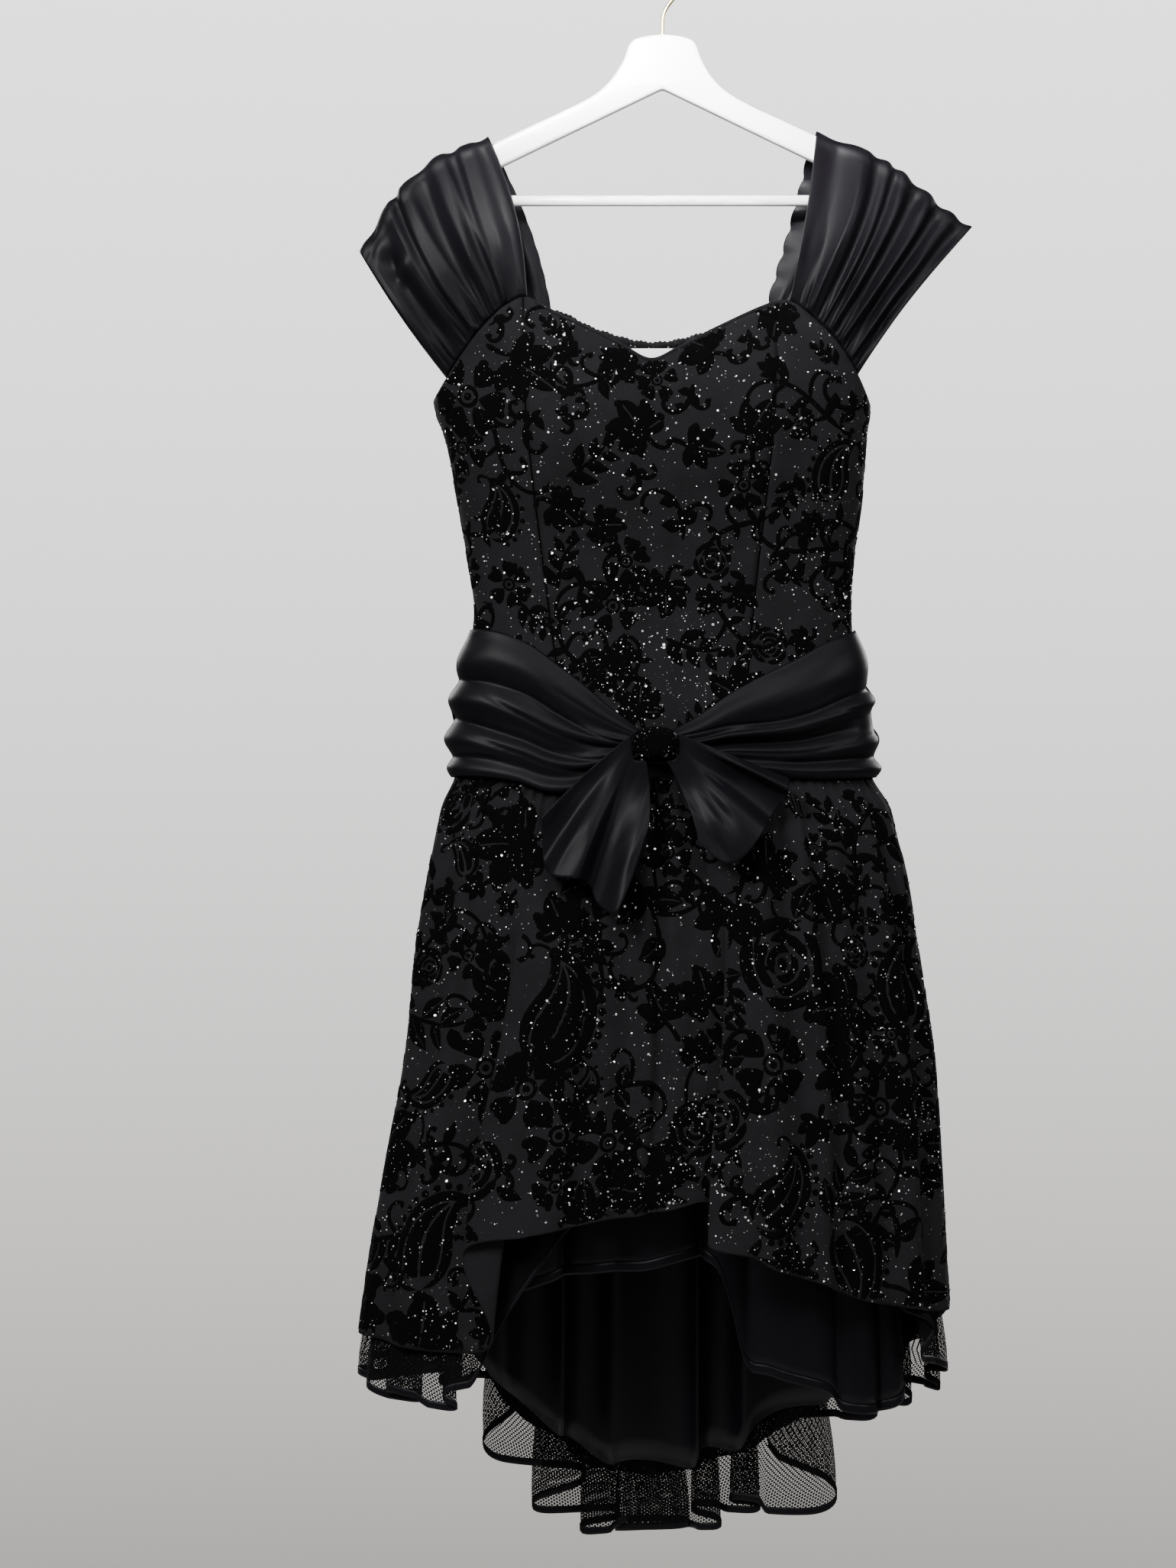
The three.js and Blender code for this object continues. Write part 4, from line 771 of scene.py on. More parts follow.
def flock_mesh(name, surface, motifs):
    """Lays every stroke of the placed motifs on the surface. A stroke stops where the cloth ends."""
    turns, across, heights, lifts, runs = [], [], [], [], []
    count = 0
    for motif, turn, z, size, rotation, mirror in motifs:
        spin = math.radians(rotation)
        for path, half, angle in motif(size):
            half = half * drawing.uniform(0.93, 1.08, len(path))
            aside = aside_of(angle)
            raised = flock_height * drawing.uniform(0.85, 1.1)
            section = narrow_section if half.max() < narrow_half else ribbon_section
            for share, rise in section:
                local = path + aside * (share * half)[:, None]
                across.append((local[:, 0] * math.cos(spin) - local[:, 1] * math.sin(spin)) * mirror)
                heights.append(z + local[:, 0] * math.sin(spin) + local[:, 1] * math.cos(spin))
                turns.append(np.full(len(path), turn))
                lifts.append(np.full(len(path), rise * raised))
            runs.append((count, len(path), len(section), mirror))
            count += len(path) * len(section)
    z = np.concatenate(heights)
    turn = surface.turn(np.concatenate(turns), np.concatenate(across), z)
    kept = surface.inside(turn, z)
    at, out, _ = surface.frame(turn, z)
    points = at + out * np.concatenate(lifts)[:, None]
    faces = []
    for start, long, wide, mirror in runs:
        for column in range(wide - 1):
            a = start + column * long
            b = a + long
            for i in range(long - 1):
                corners = (a + i, a + i + 1, b + i + 1, b + i)
                if kept[list(corners)].all():
                    faces.append(corners if mirror > 0 else corners[::-1])
    used = np.zeros(len(points), bool)
    used[np.unique(faces)] = True
    renumbered = np.cumsum(used) - 1
    faces = renumbered[np.array(faces)].tolist()
    return joined_mesh(name, points[used], faces, velvet)


far_apart = 160


def filled(surface, placed, wanted, kinds, tightness):
    """Adds motifs where there is room between those placed already, the large ones first."""
    spots = [(turn, z, size) for _, turn, z, size, _, _ in placed]
    found = list(placed)
    for low, high, tries in wanted:
        for _ in range(tries):
            turn = drawing.uniform(surface.turns[0], surface.turns[-1])
            z = drawing.uniform(surface.levels[-1], surface.levels[0])
            size = drawing.uniform(low, high)
            here = np.array([turn]), np.array([z])
            if not surface.inside(*here, margin=2)[0]:
                continue
            row = int(surface.rows_down(z))
            place = np.interp(turn, surface.turns, surface.round[row])
            clear = True
            for other_turn, other_z, other_size in spots:
                if abs(other_z - z) > far_apart:
                    continue
                other_place = np.interp(other_turn, surface.turns, surface.round[row])
                gap = math.hypot(place - other_place, other_z - z)
                if gap < tightness * (size + other_size) / 2:
                    clear = False
                    break
            if clear:
                kind = kinds[drawing.integers(len(kinds))]
                found.append((kind, turn, z, size, drawing.uniform(0, 360), drawing.choice((-1, 1))))
                spots.append((turn, z, size))
    return found


def placed_motifs(*rows):
    """Motifs placed one by one on the front. A row is (motif, x, z, size, rotation, mirror)."""
    return [
        (motif, float(turn_at_x(dress_levels, np.array(float(x)), np.array(float(z)))), z, size, spin, mirror)
        for motif, x, z, size, spin, mirror in rows
    ]


velvet = new_material(
    "black flock", Base_Color=(0.0014, 0.0013, 0.0014, 1), Roughness=0.95, Specular_IOR_Level=0.04,
)
velvet_pile = texture(velvet, "ShaderNodeTexNoise", "Object", 1800, detail=2)
bumped(velvet, [(velvet_pile, "Fac", 0.0003, 0.5)])

edge_level_z = -360.0


def by_turn(edge):
    """An upper edge's height, read by turn instead of by x."""
    x_at = lambda turn: oval(dress_levels, turn, np.full_like(turn, edge_level_z))[..., 0]
    return lambda turn: table_at(edge, "z", x_at(turn))


sewn_waist = lambda turn: np.full_like(turn, waist_seam_z + 1.0)
nothing_hidden = lambda turn, z: np.zeros_like(turn, bool)
bodice_faces = {
    side: Surface(bodice, *half_turns[side], by_turn(edge), sewn_waist, nothing_hidden)
    for side, edge in (("front", front_top_edge), ("back", back_top_edge))
}
bodice_motifs = {
    "front": placed_motifs(
        (bunch, -22, -442, 58, 20, 1), (spray, -64, -470, 58, 60, -1), (big_leaf, 84, -436, 50, -30, 1),
        (flower, 72, -492, 42, 0, 1), (paisley, 156, -472, 62, 20, -1), (scroll, 12, -510, 52, 10, 1),
        (scroll, -124, -440, 40, 130, 1), (paisley, -148, -510, 58, -10, 1), (rose, 44, -560, 40, 0, 1),
        (flower, -34, -560, 40, 20, 1), (spray, -92, -560, 54, -15, 1), (scroll, 20, -420, 34, 200, -1),
        (bunch, -50, -650, 60, 170, 1), (spray, 30, -640, 60, 110, -1), (scroll, 108, -560, 48, -40, -1),
        (flower, -140, -580, 38, 30, 1), (rose, 96, -636, 40, 0, 1), (scroll, -84, -400, 30, -30, 1),
    ),
    "back": [],
}
bodice_flock = {}
for side, surface in bodice_faces.items():
    motifs = filled(
        surface, bodice_motifs[side], ((56, 70, 60), (40, 50, 200), (26, 34, 300)),
        (bunch, spray, big_leaf, flower, scroll, bunch, scroll), 0.86)
    stems = filled(surface, [], ((84, 110, 80), (60, 76, 120)), (vine,), 0.92)
    bodice_flock[side] = flock_mesh("bodice_flock_" + side, surface, motifs + stems)

# The glitter: specks of foil stuck all over the crepe and closer together on the flock.
# They are flat flakes of six sides, each a little tilted, so that only some of them flash.
foil = new_material("silver glitter", Metallic=0.5, Roughness=0.28)
foil_tint = texture(foil, "ShaderNodeTexNoise", "Object", 240, detail=0)
shaded(foil, "Base Color", foil_tint, "Fac", (0.07, 0.07, 0.08), (1, 1, 1), 0.4, 0.62)
sprinkling = np.random.default_rng(23)


flake = {
    "radius": 0.4, "unevenness": 0.5, "least": 0.22, "most": 1.3, "tilt": 19, "most_tilt": 40, "lift": 0.35,
}
kept_beside_flock = 0.6
near_flock = 1.5


def flakes(name, surface, flock, area_each, on):
    """Sprinkles flakes over a surface, one for so many square millimetres. on(turn, z) thins them out, and
    only a share of those that would lie beside the flock is kept."""
    widest = surface.round[:, -1].max()
    tall = surface.levels[0] - surface.levels[-1]
    count = int(widest * tall / area_each)
    z = sprinkling.uniform(surface.levels[-1], surface.levels[0], count)
    across = sprinkling.uniform(0, widest, count)
    row = np.clip(surface.rows_down(z).astype(int), 0, surface.rows - 1)
    within = across < surface.round[row, -1]
    z, across = z[within], across[within]
    turn = surface.turn(np.full_like(z, surface.turns[0]), across, z)
    within = surface.inside(turn, z, 1.2) & (sprinkling.uniform(0, 1, len(z)) < on(turn, z))
    turn, z = turn[within], z[within]
    at, out, way = surface.frame(turn, z)
    pile = KDTree(len(flock.data.vertices))
    for i, vertex in enumerate(flock.data.vertices):
        pile.insert(vertex.co, i)
    pile.balance()
    on_flock = np.array([pile.find(point * MM)[2] < near_flock * MM for point in at])
    kept = on_flock | (sprinkling.uniform(0, 1, len(z)) < kept_beside_flock)
    at, out, way, on_flock = at[kept], out[kept], way[kept], on_flock[kept]
    flake_mesh(name, at + out * np.where(on_flock, flock_height + 0.05, 0.1)[:, None], out, way)


def flake_mesh(name, at, out, way):
    """A flake of its own size and tilt at each point."""
    tilt = np.clip(sprinkling.normal(0, flake["tilt"], (len(at), 2)), -flake["most_tilt"], flake["most_tilt"])
    tilt = np.radians(tilt)
    down = np.cross(out, way)
    first = way + out * np.tan(tilt[:, :1])
    second = down + out * np.tan(tilt[:, 1:])
    radius = flake["radius"] * np.exp(sprinkling.normal(0, flake["unevenness"], len(at)))
    radius = np.clip(radius, flake["least"], flake["most"])
    spin = sprinkling.uniform(0, np.pi, len(at))
    rim = []
    for corner in range(6):
        angle = (spin + corner * np.pi / 3)[:, None]
        reach = radius[:, None] * (np.cos(angle) * first + np.sin(angle) * second)
        rim.append(at + out * flake["lift"] * radius[:, None] + reach)
    points = np.stack(rim, 1).reshape(-1, 3)
    faces = np.arange(len(points)).reshape(-1, 6)[:, ::-1].tolist()
    joined_mesh(name, points, faces, foil, smooth_faces=False)


def drifted(turn, z, evenness=0.55):
    """Glitter lies in drifts: thick in some places and thin in others."""
    drift = np.sin(41 * turn + z / 37) + np.sin(67 * turn - z / 23 + 1.3) + np.sin(29 * turn + z / 11 + 4)
    return np.clip(mix(0.5 + drift / 5, 1, evenness), 0, 1)


def bodice_drift(turn, z):
    """Like the drifts, and thickest above the bow."""
    above_bow = hump((z + 650) / 130) * hump((turn - 0.235) / 0.12)
    return np.clip(0.75 * drifted(turn, z) + 0.5 * above_bow, 0, 1)


for side, surface in bodice_faces.items():
    flakes("bodice_glitter_" + side, surface, bodice_flock[side], 24, bodice_drift)

# The outer skirt: two gathered panels of the same crepe, short in front and long behind.
# Its front opens in two knife pleats, and its folds fall from the gathers under the sash.
skirt_folds = table(
    "turn width depth lean",
    (0.03, 0.022, 6, -3), (0.068, 0.018, 7, 3), (0.16, 0.018, 5, 3), (0.196, 0.016, 6, -4),
    (0.226, 0.015, 7, 4), (0.256, 0.014, 5, -3), (0.34, 0.016, 7, -4), (0.37, 0.014, 8, 5),
    (0.401, 0.016, 7, -4), (0.434, 0.017, 8, 4), (0.469, 0.018, 6, -3), (0.535, 0.019, 8, 4),
    (0.574, 0.018, 9, -5), (0.611, 0.019, 8, 5), (0.65, 0.019, 9, -5), (0.688, 0.018, 8, 4),
    (0.725, 0.018, 9, -5), (0.762, 0.018, 8, 5), (0.8, 0.019, 9, -5), (0.839, 0.019, 8, 5),
    (0.877, 0.018, 9, -5), (0.915, 0.019, 8, 4), (0.955, 0.02, 7, -3),
)
skirt_pleats = [
    {"turn": 0.118, "width": 0.024, "overlap": 32, "rise": 19},
    {"turn": 0.3, "width": 0.021, "overlap": 27, "rise": 18},
]
pleat_start_z, pleat_full_z = -800, -1120
pleat_settle = 3
skirt_hem = table(
    "turn z",
    (0, -1257), (0.046, -1262), (0.1, -1269), (0.109, -1254), (0.118, -1218), (0.128, -1180),
    (0.14, -1165), (0.188, -1152), (0.255, -1140), (0.291, -1135), (0.31, -1170), (0.351, -1197),
    (0.402, -1223), (0.45, -1237), (0.5, -1240), (0.55, -1268), (0.598, -1316), (0.654, -1350),
    (0.702, -1390), (0.745, -1402), (0.794, -1394), (0.824, -1376), (0.862, -1342), (0.895, -1284),
    (0.95, -1263), (1, -1257),
)
skirt_hem_z = lambda turn: table_at(skirt_hem, "z", turn)
skirt_top_z = waist_seam_z - 0.5
skirt_inset = 3
skirt_last_level_z = -1110
# Small gathers that leave the waist seam between the folds and fade down the skirt.
gathers = {"count": 96, "depth": 1.5, "fade": 150}


def skirt_out_and_along(turn, fold_amount, pleat_amount):
    """How far the folds and pleats move a point out from its level and along it."""
    out, shift = 0 * turn, 0 * turn
    for fold_turn, width, depth, lean in zip(*skirt_folds.values()):
        crest = hump((turn - fold_turn) / width)
        out = out + depth * crest * fold_amount
        shift = shift + lean * crest * fold_amount
    for pleat in skirt_pleats:
        t = (turn - pleat["turn"]) / pleat["width"]
        inside, lift = np.abs(t) < 1, pleat["rise"] * pleat_amount ** 0.25
        steps = ease((t + 0.41) / 0.7 + 0.5) + ease((t - 0.41) / 0.7 + 0.5)
        climbing = lift / 4 * (steps + 1 + np.sin(np.pi / 2 * np.clip(t, -1, 1)))
        settling = (t >= 1) * lift * hump(np.minimum((t - 1) / pleat_settle, 1))
        out = out + np.where(inside, climbing, settling)
        shift = shift - inside * pleat["overlap"] * np.sin(np.pi * t) * pleat_amount
    return out, shift


def skirt(turn, z):
    """A point on the skirt's outer face."""
    fold_amount = mix(0.12, 1, ease((skirt_top_z - z) / 110)) * ease((skirt_top_z - z) / 20)
    pleat_amount = ease((pleat_start_z - z) / (pleat_start_z - pleat_full_z))
    out, shift = skirt_out_and_along(turn, fold_amount, pleat_amount)
    below = skirt_top_z - z
    uneven = 0.5 + 0.5 * np.sin(2 * np.pi * (17 * turn + 0.3) + 2 * np.sin(2 * np.pi * 7 * turn))
    pinched = ease(below / 12) * (1 - ease(below / (gathers["fade"] * mix(0.5, 1, uneven))))
    out = out + gathers["depth"] * np.sin(2 * np.pi * gathers["count"] * turn + 2 * uneven) * pinched
    return moved(dress_levels, turn, z, out, shift, skirt_inset * ease(below / 60))


def skirt_turns(first, last, columns, pleat_columns):
    """Even columns, with more of them where a pleat folds the cloth back on itself."""
    turns = list(np.linspace(first + seam_turn, last - seam_turn, columns + 1))
    for pleat in skirt_pleats:
        near = 1.15 * pleat["width"]
        if first < pleat["turn"] < last:
            turns = [turn for turn in turns if abs(turn - pleat["turn"]) > near]
            close = 0.98 * near
            turns += list(np.linspace(pleat["turn"] - close, pleat["turn"] + close, pleat_columns + 1))
    return sorted(turns)


def skirt_by_share(turn, share):
    """The skirt's grid: level heights above the last level, then shares of the way to the hem."""
    knee = 0.62
    upper = mix(skirt_top_z, skirt_last_level_z, share / knee)
    lower = mix(skirt_last_level_z, skirt_hem_z(turn), (share - knee) / (1 - knee))
    return skirt(turn, np.where(share < knee, upper, lower))


skirt_cuts = {
    "front": {
        "columns": 150, "in_pleat": 40, "rows": 84, "flat": (0.82, 0.52), "area": 0.31,
        "held_by": "bodice_front_centre_panel"},
    "back": {
        "columns": 190, "in_pleat": 0, "rows": 78, "flat": (0.72, 0.66), "area": 0.355,
        "held_by": "bodice_back_panel"},
}
for side, cut in skirt_cuts.items():
    turns = skirt_turns(*half_turns[side], cut["columns"], cut["in_pleat"])
    panel = cloth(
        "skirt_panel_" + side, turns, np.linspace(0, 1, cut["rows"] + 1), skirt_by_share,
        crepe_thickness, crepe, "skirt_" + side)

# The skirt's flock and glitter: the same velvet motifs and foil, larger on the skirt than on the bodice.
# Where a pleat hides the cloth there is none.
skirt_upper = lambda turn: np.full_like(turn, skirt_top_z - 8.0)


def in_a_pleat(turn, z):
    """Where the cloth lies hidden under a pleat's edge."""
    deep = z < pleat_start_z - 90
    near = [np.abs(turn - pleat["turn"]) < 0.42 * pleat["width"] for pleat in skirt_pleats]
    return deep & np.any(near, axis=0)


skirt_faces = {
    side: Surface(skirt, *half_turns[side], skirt_upper, skirt_hem_z, hidden)
    for side, hidden in (("front", in_a_pleat), ("back", nothing_hidden))
}
skirt_motifs = {
    "front": placed_motifs(
        (paisley, -92, -958, 108, -10, 1), (paisley, -212, -1164, 96, 20, -1),
        (flower, -168, -1016, 62, 10, 1), (rose, -140, -1104, 66, 0, 1), (flower, 98, -1010, 64, 25, 1),
        (paisley, 214, -936, 88, 10, -1), (big_leaf, 60, -884, 66, 160, 1), (rose, 28, -1068, 58, 0, 1),
        (flower, 196, -1052, 62, 0, 1), (big_leaf, -4, -960, 54, 30, 1), (paisley, 110, -1120, 84, -30, 1),
        (scroll, 208, -1150, 60, 0, 1), (flower, -48, -1080, 54, 12, 1), (spray, -200, -880, 60, 20, 1),
        (scroll, -150, -900, 50, 40, -1),
    ),
    "back": [],
}


def skirt_drift(turn, z):
    """Like the bodice's drifts, and thickest near the front hem."""
    near_hem = hump((z - skirt_hem_z(turn) - 60) / 110) * hump((turn - 0.3) / 0.16)
    return np.clip(0.8 * drifted(turn, z) + 0.8 * near_hem, 0, 1)


for side, surface in skirt_faces.items():
    motifs = filled(
        surface, skirt_motifs[side], ((80, 104, 120), (54, 70, 300), (34, 46, 500), (24, 30, 300)),
        (flower, bunch, big_leaf, paisley, bunch, spray, scroll, rose), 0.77)
    stems = filled(surface, [], ((100, 130, 90), (70, 90, 160)), (vine,), 0.86)
    flock = flock_mesh("skirt_flock_" + side, surface, motifs + stems)
    flakes("skirt_glitter_" + side, surface, flock, 30, skirt_drift)

# The petticoat: black net gathered under the skirt, bound at its hem with a black satin ribbon.
# The net flares below the skirt's hem and falls in loose waves, deepest at the ribbon.
petticoat_levels = table(
    "z left right front back",
    (-738, 184.8, 186.2, 48.6, 34.8), (-757, 182.5, 184.5, 47.5, 33.5), (-781, 187, 193, 50, 34),
    (-851, 203, 213, 60, 39.5), (-1008, 221, 235, 73, 47), (-1113, 239, 241, 80, 52),
    (-1219, 261, 250, 87, 59), (-1290, 275, 259, 94, 68), (-1380, 270, 256, 98, 72),
    (-1500, 262, 252, 100, 76),
)
petticoat_hem = table(
    "turn z",
    (0, -1296), (0.05, -1304), (0.11, -1302), (0.15, -1190), (0.2, -1128), (0.29, -1116), (0.36, -1150),
    (0.42, -1206), (0.46, -1272), (0.5, -1292), (0.558, -1322), (0.6, -1352), (0.63, -1398),
    (0.687, -1436), (0.745, -1455), (0.8, -1446), (0.835, -1412), (0.862, -1366), (0.894, -1312),
    (0.95, -1300), (1, -1296),
)
petticoat_waves = {"count": 22, "depth": 6.8, "lean": 4, "unevenness": 0.25}
ribbon = {"height": 6.8, "over_net": 1.2, "proud": 0.35, "wall": 0.9}
# Where the hem's stiff ribbon doubles back on itself in a loop. overhang is how far it swings aside, and
# from one end of the loop to the other it rises and moves out by these sizes.
hem_loops = table(
    "turn half overhang rise out",
    (0.065, 0.016, 24, 12, 12), (0.1, 0.012, 16, 8, 8), (0.452, 0.014, 16, -8, -8),
    (0.532, 0.012, 13, -8, -8), (0.557, 0.011, 15, -10, -8), (0.588, 0.013, 20, -14, -10),
    (0.632, 0.024, 52, -34, -16), (0.676, 0.012, 22, -10, -10), (0.704, 0.011, 18, -10, -8),
    (0.752, 0.022, 44, 10, -14), (0.798, 0.013, 24, 12, 12), (0.828, 0.017, 34, 16, 14),
    (0.868, 0.018, 32, 22, 14), (0.905, 0.012, 20, 12, 10), (0.935, 0.022, 46, 16, 14),
)
loop_turn_length, loop_turn_at, loop_settle, loop_from_share = 0.62, 0.46, 2.2, 0.5
loop_level_share = 0.24


def petticoat(turn, share, drop=0):
    """A point on the net. share is 0 at the waist and 1 at the hem, and drop goes on below the hem."""
    top_z = petticoat_levels["z"][0]
    looped = ease((share - loop_from_share) / (1 - loop_from_share)) ** 1.5
    z = mix(top_z, table_at(petticoat_hem, "z", turn), share) - drop
    near_side = np.abs((turn + 0.25) % 0.5 - 0.25)
    calm_side = mix(0.5, 1, ease(near_side / 0.05))
    amount = calm_side * ease((top_z - z) / 260) * mix(0.3, 1, ease((-1120 - z) / 150))
    swing = petticoat_waves["unevenness"] * np.sin(2 * np.pi * 5 * turn + 1)
    phase = 2 * np.pi * petticoat_waves["count"] * turn + 3 * swing
    depth = petticoat_waves["depth"] * amount
    lean = petticoat_waves["lean"] * amount
    out = depth * np.cos(phase) * (1 + swing)
    shift = lean * np.sin(phase)
    rise = 0 * turn
    for loop_turn, half, overhang, loop_rise, loop_out in zip(*hem_loops.values()):
        t = (turn - loop_turn) / half
        steps = sum(ease((t + at) / loop_turn_length + 0.5) for at in (loop_turn_at, -loop_turn_at))
        slope = (0.5 - loop_level_share) * (1 + np.clip(t, -1, 1))
        step = (loop_level_share * steps + slope - 0.5) * hump(t / loop_settle)
        shift = shift - (np.abs(t) < 1) * overhang * np.sin(np.pi * t) * looped
        out = out + 2 * loop_out * step * looped
        rise = rise + 2 * loop_rise * step * looped
    point = moved(petticoat_levels, turn, z, out, shift)
    point[..., 2] += rise
    return point


def evenly_round(point, first, last, columns):
    """Turns that share the way along a line of points evenly, also where it doubles back."""
    turns = np.linspace(first, last, 6000)
    walked = np.concatenate([[0], np.cumsum(np.linalg.norm(np.diff(point(turns), axis=0), axis=-1))])
    return np.interp(np.linspace(0, walked[-1], columns + 1), walked, turns)


def net_material(name, pitch, thread_share):
    """Threads in three directions with open holes between them. pitch is the way from thread to thread."""
    material = new_material(
        name, Base_Color=(0.0028, 0.0026, 0.0027, 1), Roughness=0.7, Specular_IOR_Level=0.06)
    nodes, links = material.node_tree.nodes, material.node_tree.links
    places = nodes.new("ShaderNodeTexCoord")
    joined = None
    for angle in (0, 60, 120):
        turned = nodes.new("ShaderNodeMapping")
        turned.inputs["Rotation"].default_value = (0, 0, math.radians(angle))
        turned.inputs["Scale"].default_value = (1 / pitch, 1 / pitch, 1)
        links.new(places.outputs["UV"], turned.inputs["Vector"])
        parted = nodes.new("ShaderNodeSeparateXYZ")
        links.new(turned.outputs["Vector"], parted.inputs["Vector"])
        wrapped = nodes.new("ShaderNodeMath")
        wrapped.operation = "PINGPONG"
        wrapped.inputs[1].default_value = 0.5
        links.new(parted.outputs["X"], wrapped.inputs[0])
        on_line = nodes.new("ShaderNodeMath")
        on_line.operation = "LESS_THAN"
        on_line.inputs[1].default_value = thread_share / 2
        links.new(wrapped.outputs[0], on_line.inputs[0])
        if joined is None:
            joined = on_line.outputs[0]
            continue
        either = nodes.new("ShaderNodeMath")
        either.operation = "MAXIMUM"
        links.new(joined, either.inputs[0])
        links.new(on_line.outputs[0], either.inputs[1])
        joined = either.outputs[0]
    holes = nodes.new("ShaderNodeBsdfTransparent")
    netted = nodes.new("ShaderNodeMixShader")
    links.new(joined, netted.inputs["Fac"])
    links.new(holes.outputs["BSDF"], netted.inputs[1])
    links.new(nodes["Principled BSDF"].outputs["BSDF"], netted.inputs[2])
    links.new(netted.outputs["Shader"], nodes["Material Output"].inputs["Surface"])
    return material


net = net_material("black net", 0.0026, 0.3)


def satin_material(name, wrinkle_stretch):
    """Black satin. Its slight wrinkles are drawn out along the folds of the piece."""
    material = new_material(name, Specular_IOR_Level=0.085)
    cloud = texture(material, "ShaderNodeTexNoise", "Object", 14, detail=3)
    floats = texture(material, "ShaderNodeTexNoise", "UV", 700, detail=1, stretch=(1, 0.12, 1))
    wrinkles = texture(material, "ShaderNodeTexNoise", "UV", 34, detail=2, stretch=wrinkle_stretch)
    shaded(material, "Base Color", cloud, "Fac", (0.0032, 0.0028, 0.0039), (0.0050, 0.0044, 0.0061))
    shaded(material, "Roughness", wrinkles, "Fac", 0.42, 0.5)
    bumped(material, [(floats, "Fac", 0.0001, 0.12), (wrinkles, "Fac", 0.006, 0.3)])
    return material


satin = satin_material("black satin", (1, 0.22, 1))
sash_satin = satin_material("black satin, laid crosswise", (0.2, 1, 1))

hem_line = lambda turn: petticoat(turn, np.ones_like(turn))
petticoat_cuts = {
    "front": {"columns": 340, "rows": 36, "flat": (0.95, 0.57), "area": 0.33},
    "back": {"columns": 460, "rows": 44, "flat": (1.1, 0.72), "area": 0.50},
}


def ribbon_point(turn, share):
    """A point on the ribbon that binds the net's hem."""
    point = petticoat(turn, np.ones_like(turn), share * ribbon["height"] - ribbon["over_net"])
    return point + round_and_out(petticoat_levels, turn, point[..., 2])[1] * ribbon["proud"]


for side, cut in petticoat_cuts.items():
    first, last = half_turns[side]
    turns = evenly_round(hem_line, first + seam_turn, last - seam_turn, cut["columns"])
    piece = cloth(
        "petticoat_net_" + side, turns, np.linspace(0, 1, cut["rows"] + 1), petticoat, 0, net,
        "petticoat_" + side)
    bound = cloth(
        "petticoat_ribbon_" + side, turns, np.linspace(0, 1, 4), ribbon_point, ribbon["wall"], satin,
        "petticoat_binding_" + side)

# The petticoat's under layers: two more lengths of the same net inside the first, plain at the hem.
# They end short of the ribbon and make the gathers look almost black.
under_layers = {
    "middle": {"inset": 4, "waves": 19, "depth": 3.5, "lean": 7, "turned": 0.3, "hem_share": 0.935},
    "inner": {"inset": 8, "waves": 25, "depth": 3, "lean": 6, "turned": 1.9, "hem_share": 0.905},
}
under_cuts = {
    "front": {"columns": 200, "flat": (0.68, 0.56), "area": 0.25},
    "back": {"columns": 260, "flat": (0.72, 0.70), "area": 0.36},
}


def under_net(layer, turn, share):
    """A point on an under layer, which keeps inside the outer net."""
    top_z = petticoat_levels["z"][0]
    hem_z = table_at(petticoat_hem, "z", turn)
    z = mix(top_z, mix(top_z, hem_z, layer["hem_share"]), share)
    amount = ease((top_z - z) / 260) * mix(0.4, 1, ease((-1120 - z) / 150))
    phase = 2 * np.pi * layer["waves"] * turn + layer["turned"] + 1.1 * np.sin(2 * np.pi * 7 * turn)
    out = layer["depth"] * np.cos(phase) * amount - layer["inset"] * ease((top_z - z) / 120)
    shift = layer["lean"] * np.sin(phase) * amount
    return moved(petticoat_levels, turn, z, out, shift)


close_net = net_material("black net, doubled", 0.0026, 0.55)
for name, layer in under_layers.items():
    for side, cut in under_cuts.items():
        first, last = half_turns[side]
        turns = np.linspace(first + seam_turn, last - seam_turn, cut["columns"] + 1)
        piece = cloth(
            "petticoat_net_" + name + "_" + side, turns, np.linspace(0, 1, 31),
            lambda turn, share, chosen=layer: under_net(chosen, turn, share), 0, close_net)

# The lining: the innermost skirt, of thin blue-black satin, with its hem turned up twice and stitched.
# It is narrower than the skirt and shows below the front hem.
lining_levels = table(
    "z left right front back",
    (-738, 182.4, 183.8, 46.4, 32.6), (-757, 180, 183, 43, 29), (-781, 181, 188, 44, 28),
    (-851, 184, 196, 47, 29), (-1008, 188, 208, 55, 33), (-1219, 194, 218, 63, 41),
    (-1420, 198, 222, 68, 48),
)
lining_hem = table(
    "turn z",
    (0, -1262), (0.07, -1258), (0.1, -1224), (0.14, -1204), (0.218, -1199), (0.292, -1194),
    (0.312, -1276), (0.35, -1294), (0.388, -1310), (0.41, -1328), (0.46, -1328), (0.5, -1304),
    (0.56, -1308), (0.62, -1336), (0.68, -1372), (0.76, -1396), (0.83, -1386), (0.88, -1352),
    (0.93, -1306), (0.965, -1268), (1, -1262),
)
lining_folds = {"count": 17, "depth": 5, "back_depth": 9, "lean": 5, "hem_step": 6}
lining_thickness = 0.8
hem_band = {"height": 9, "proud": 0.6, "wall": 0.5}


def lining_fold(turn):
    """Where in its fold a point is, and how far it belongs to the deeper folds behind."""
    uneven = 1.4 * np.sin(4 * np.pi * turn) + np.sin(14 * np.pi * turn)
    behind = ease((turn - 0.52) / 0.06) * ease((0.98 - turn) / 0.06)
    return 2 * np.pi * lining_folds["count"] * turn + uneven, behind


def lining_hem_z(turn):
    phase, behind = lining_fold(turn)
    return table_at(lining_hem, "z", turn) + lining_folds["hem_step"] * behind * np.sin(phase)


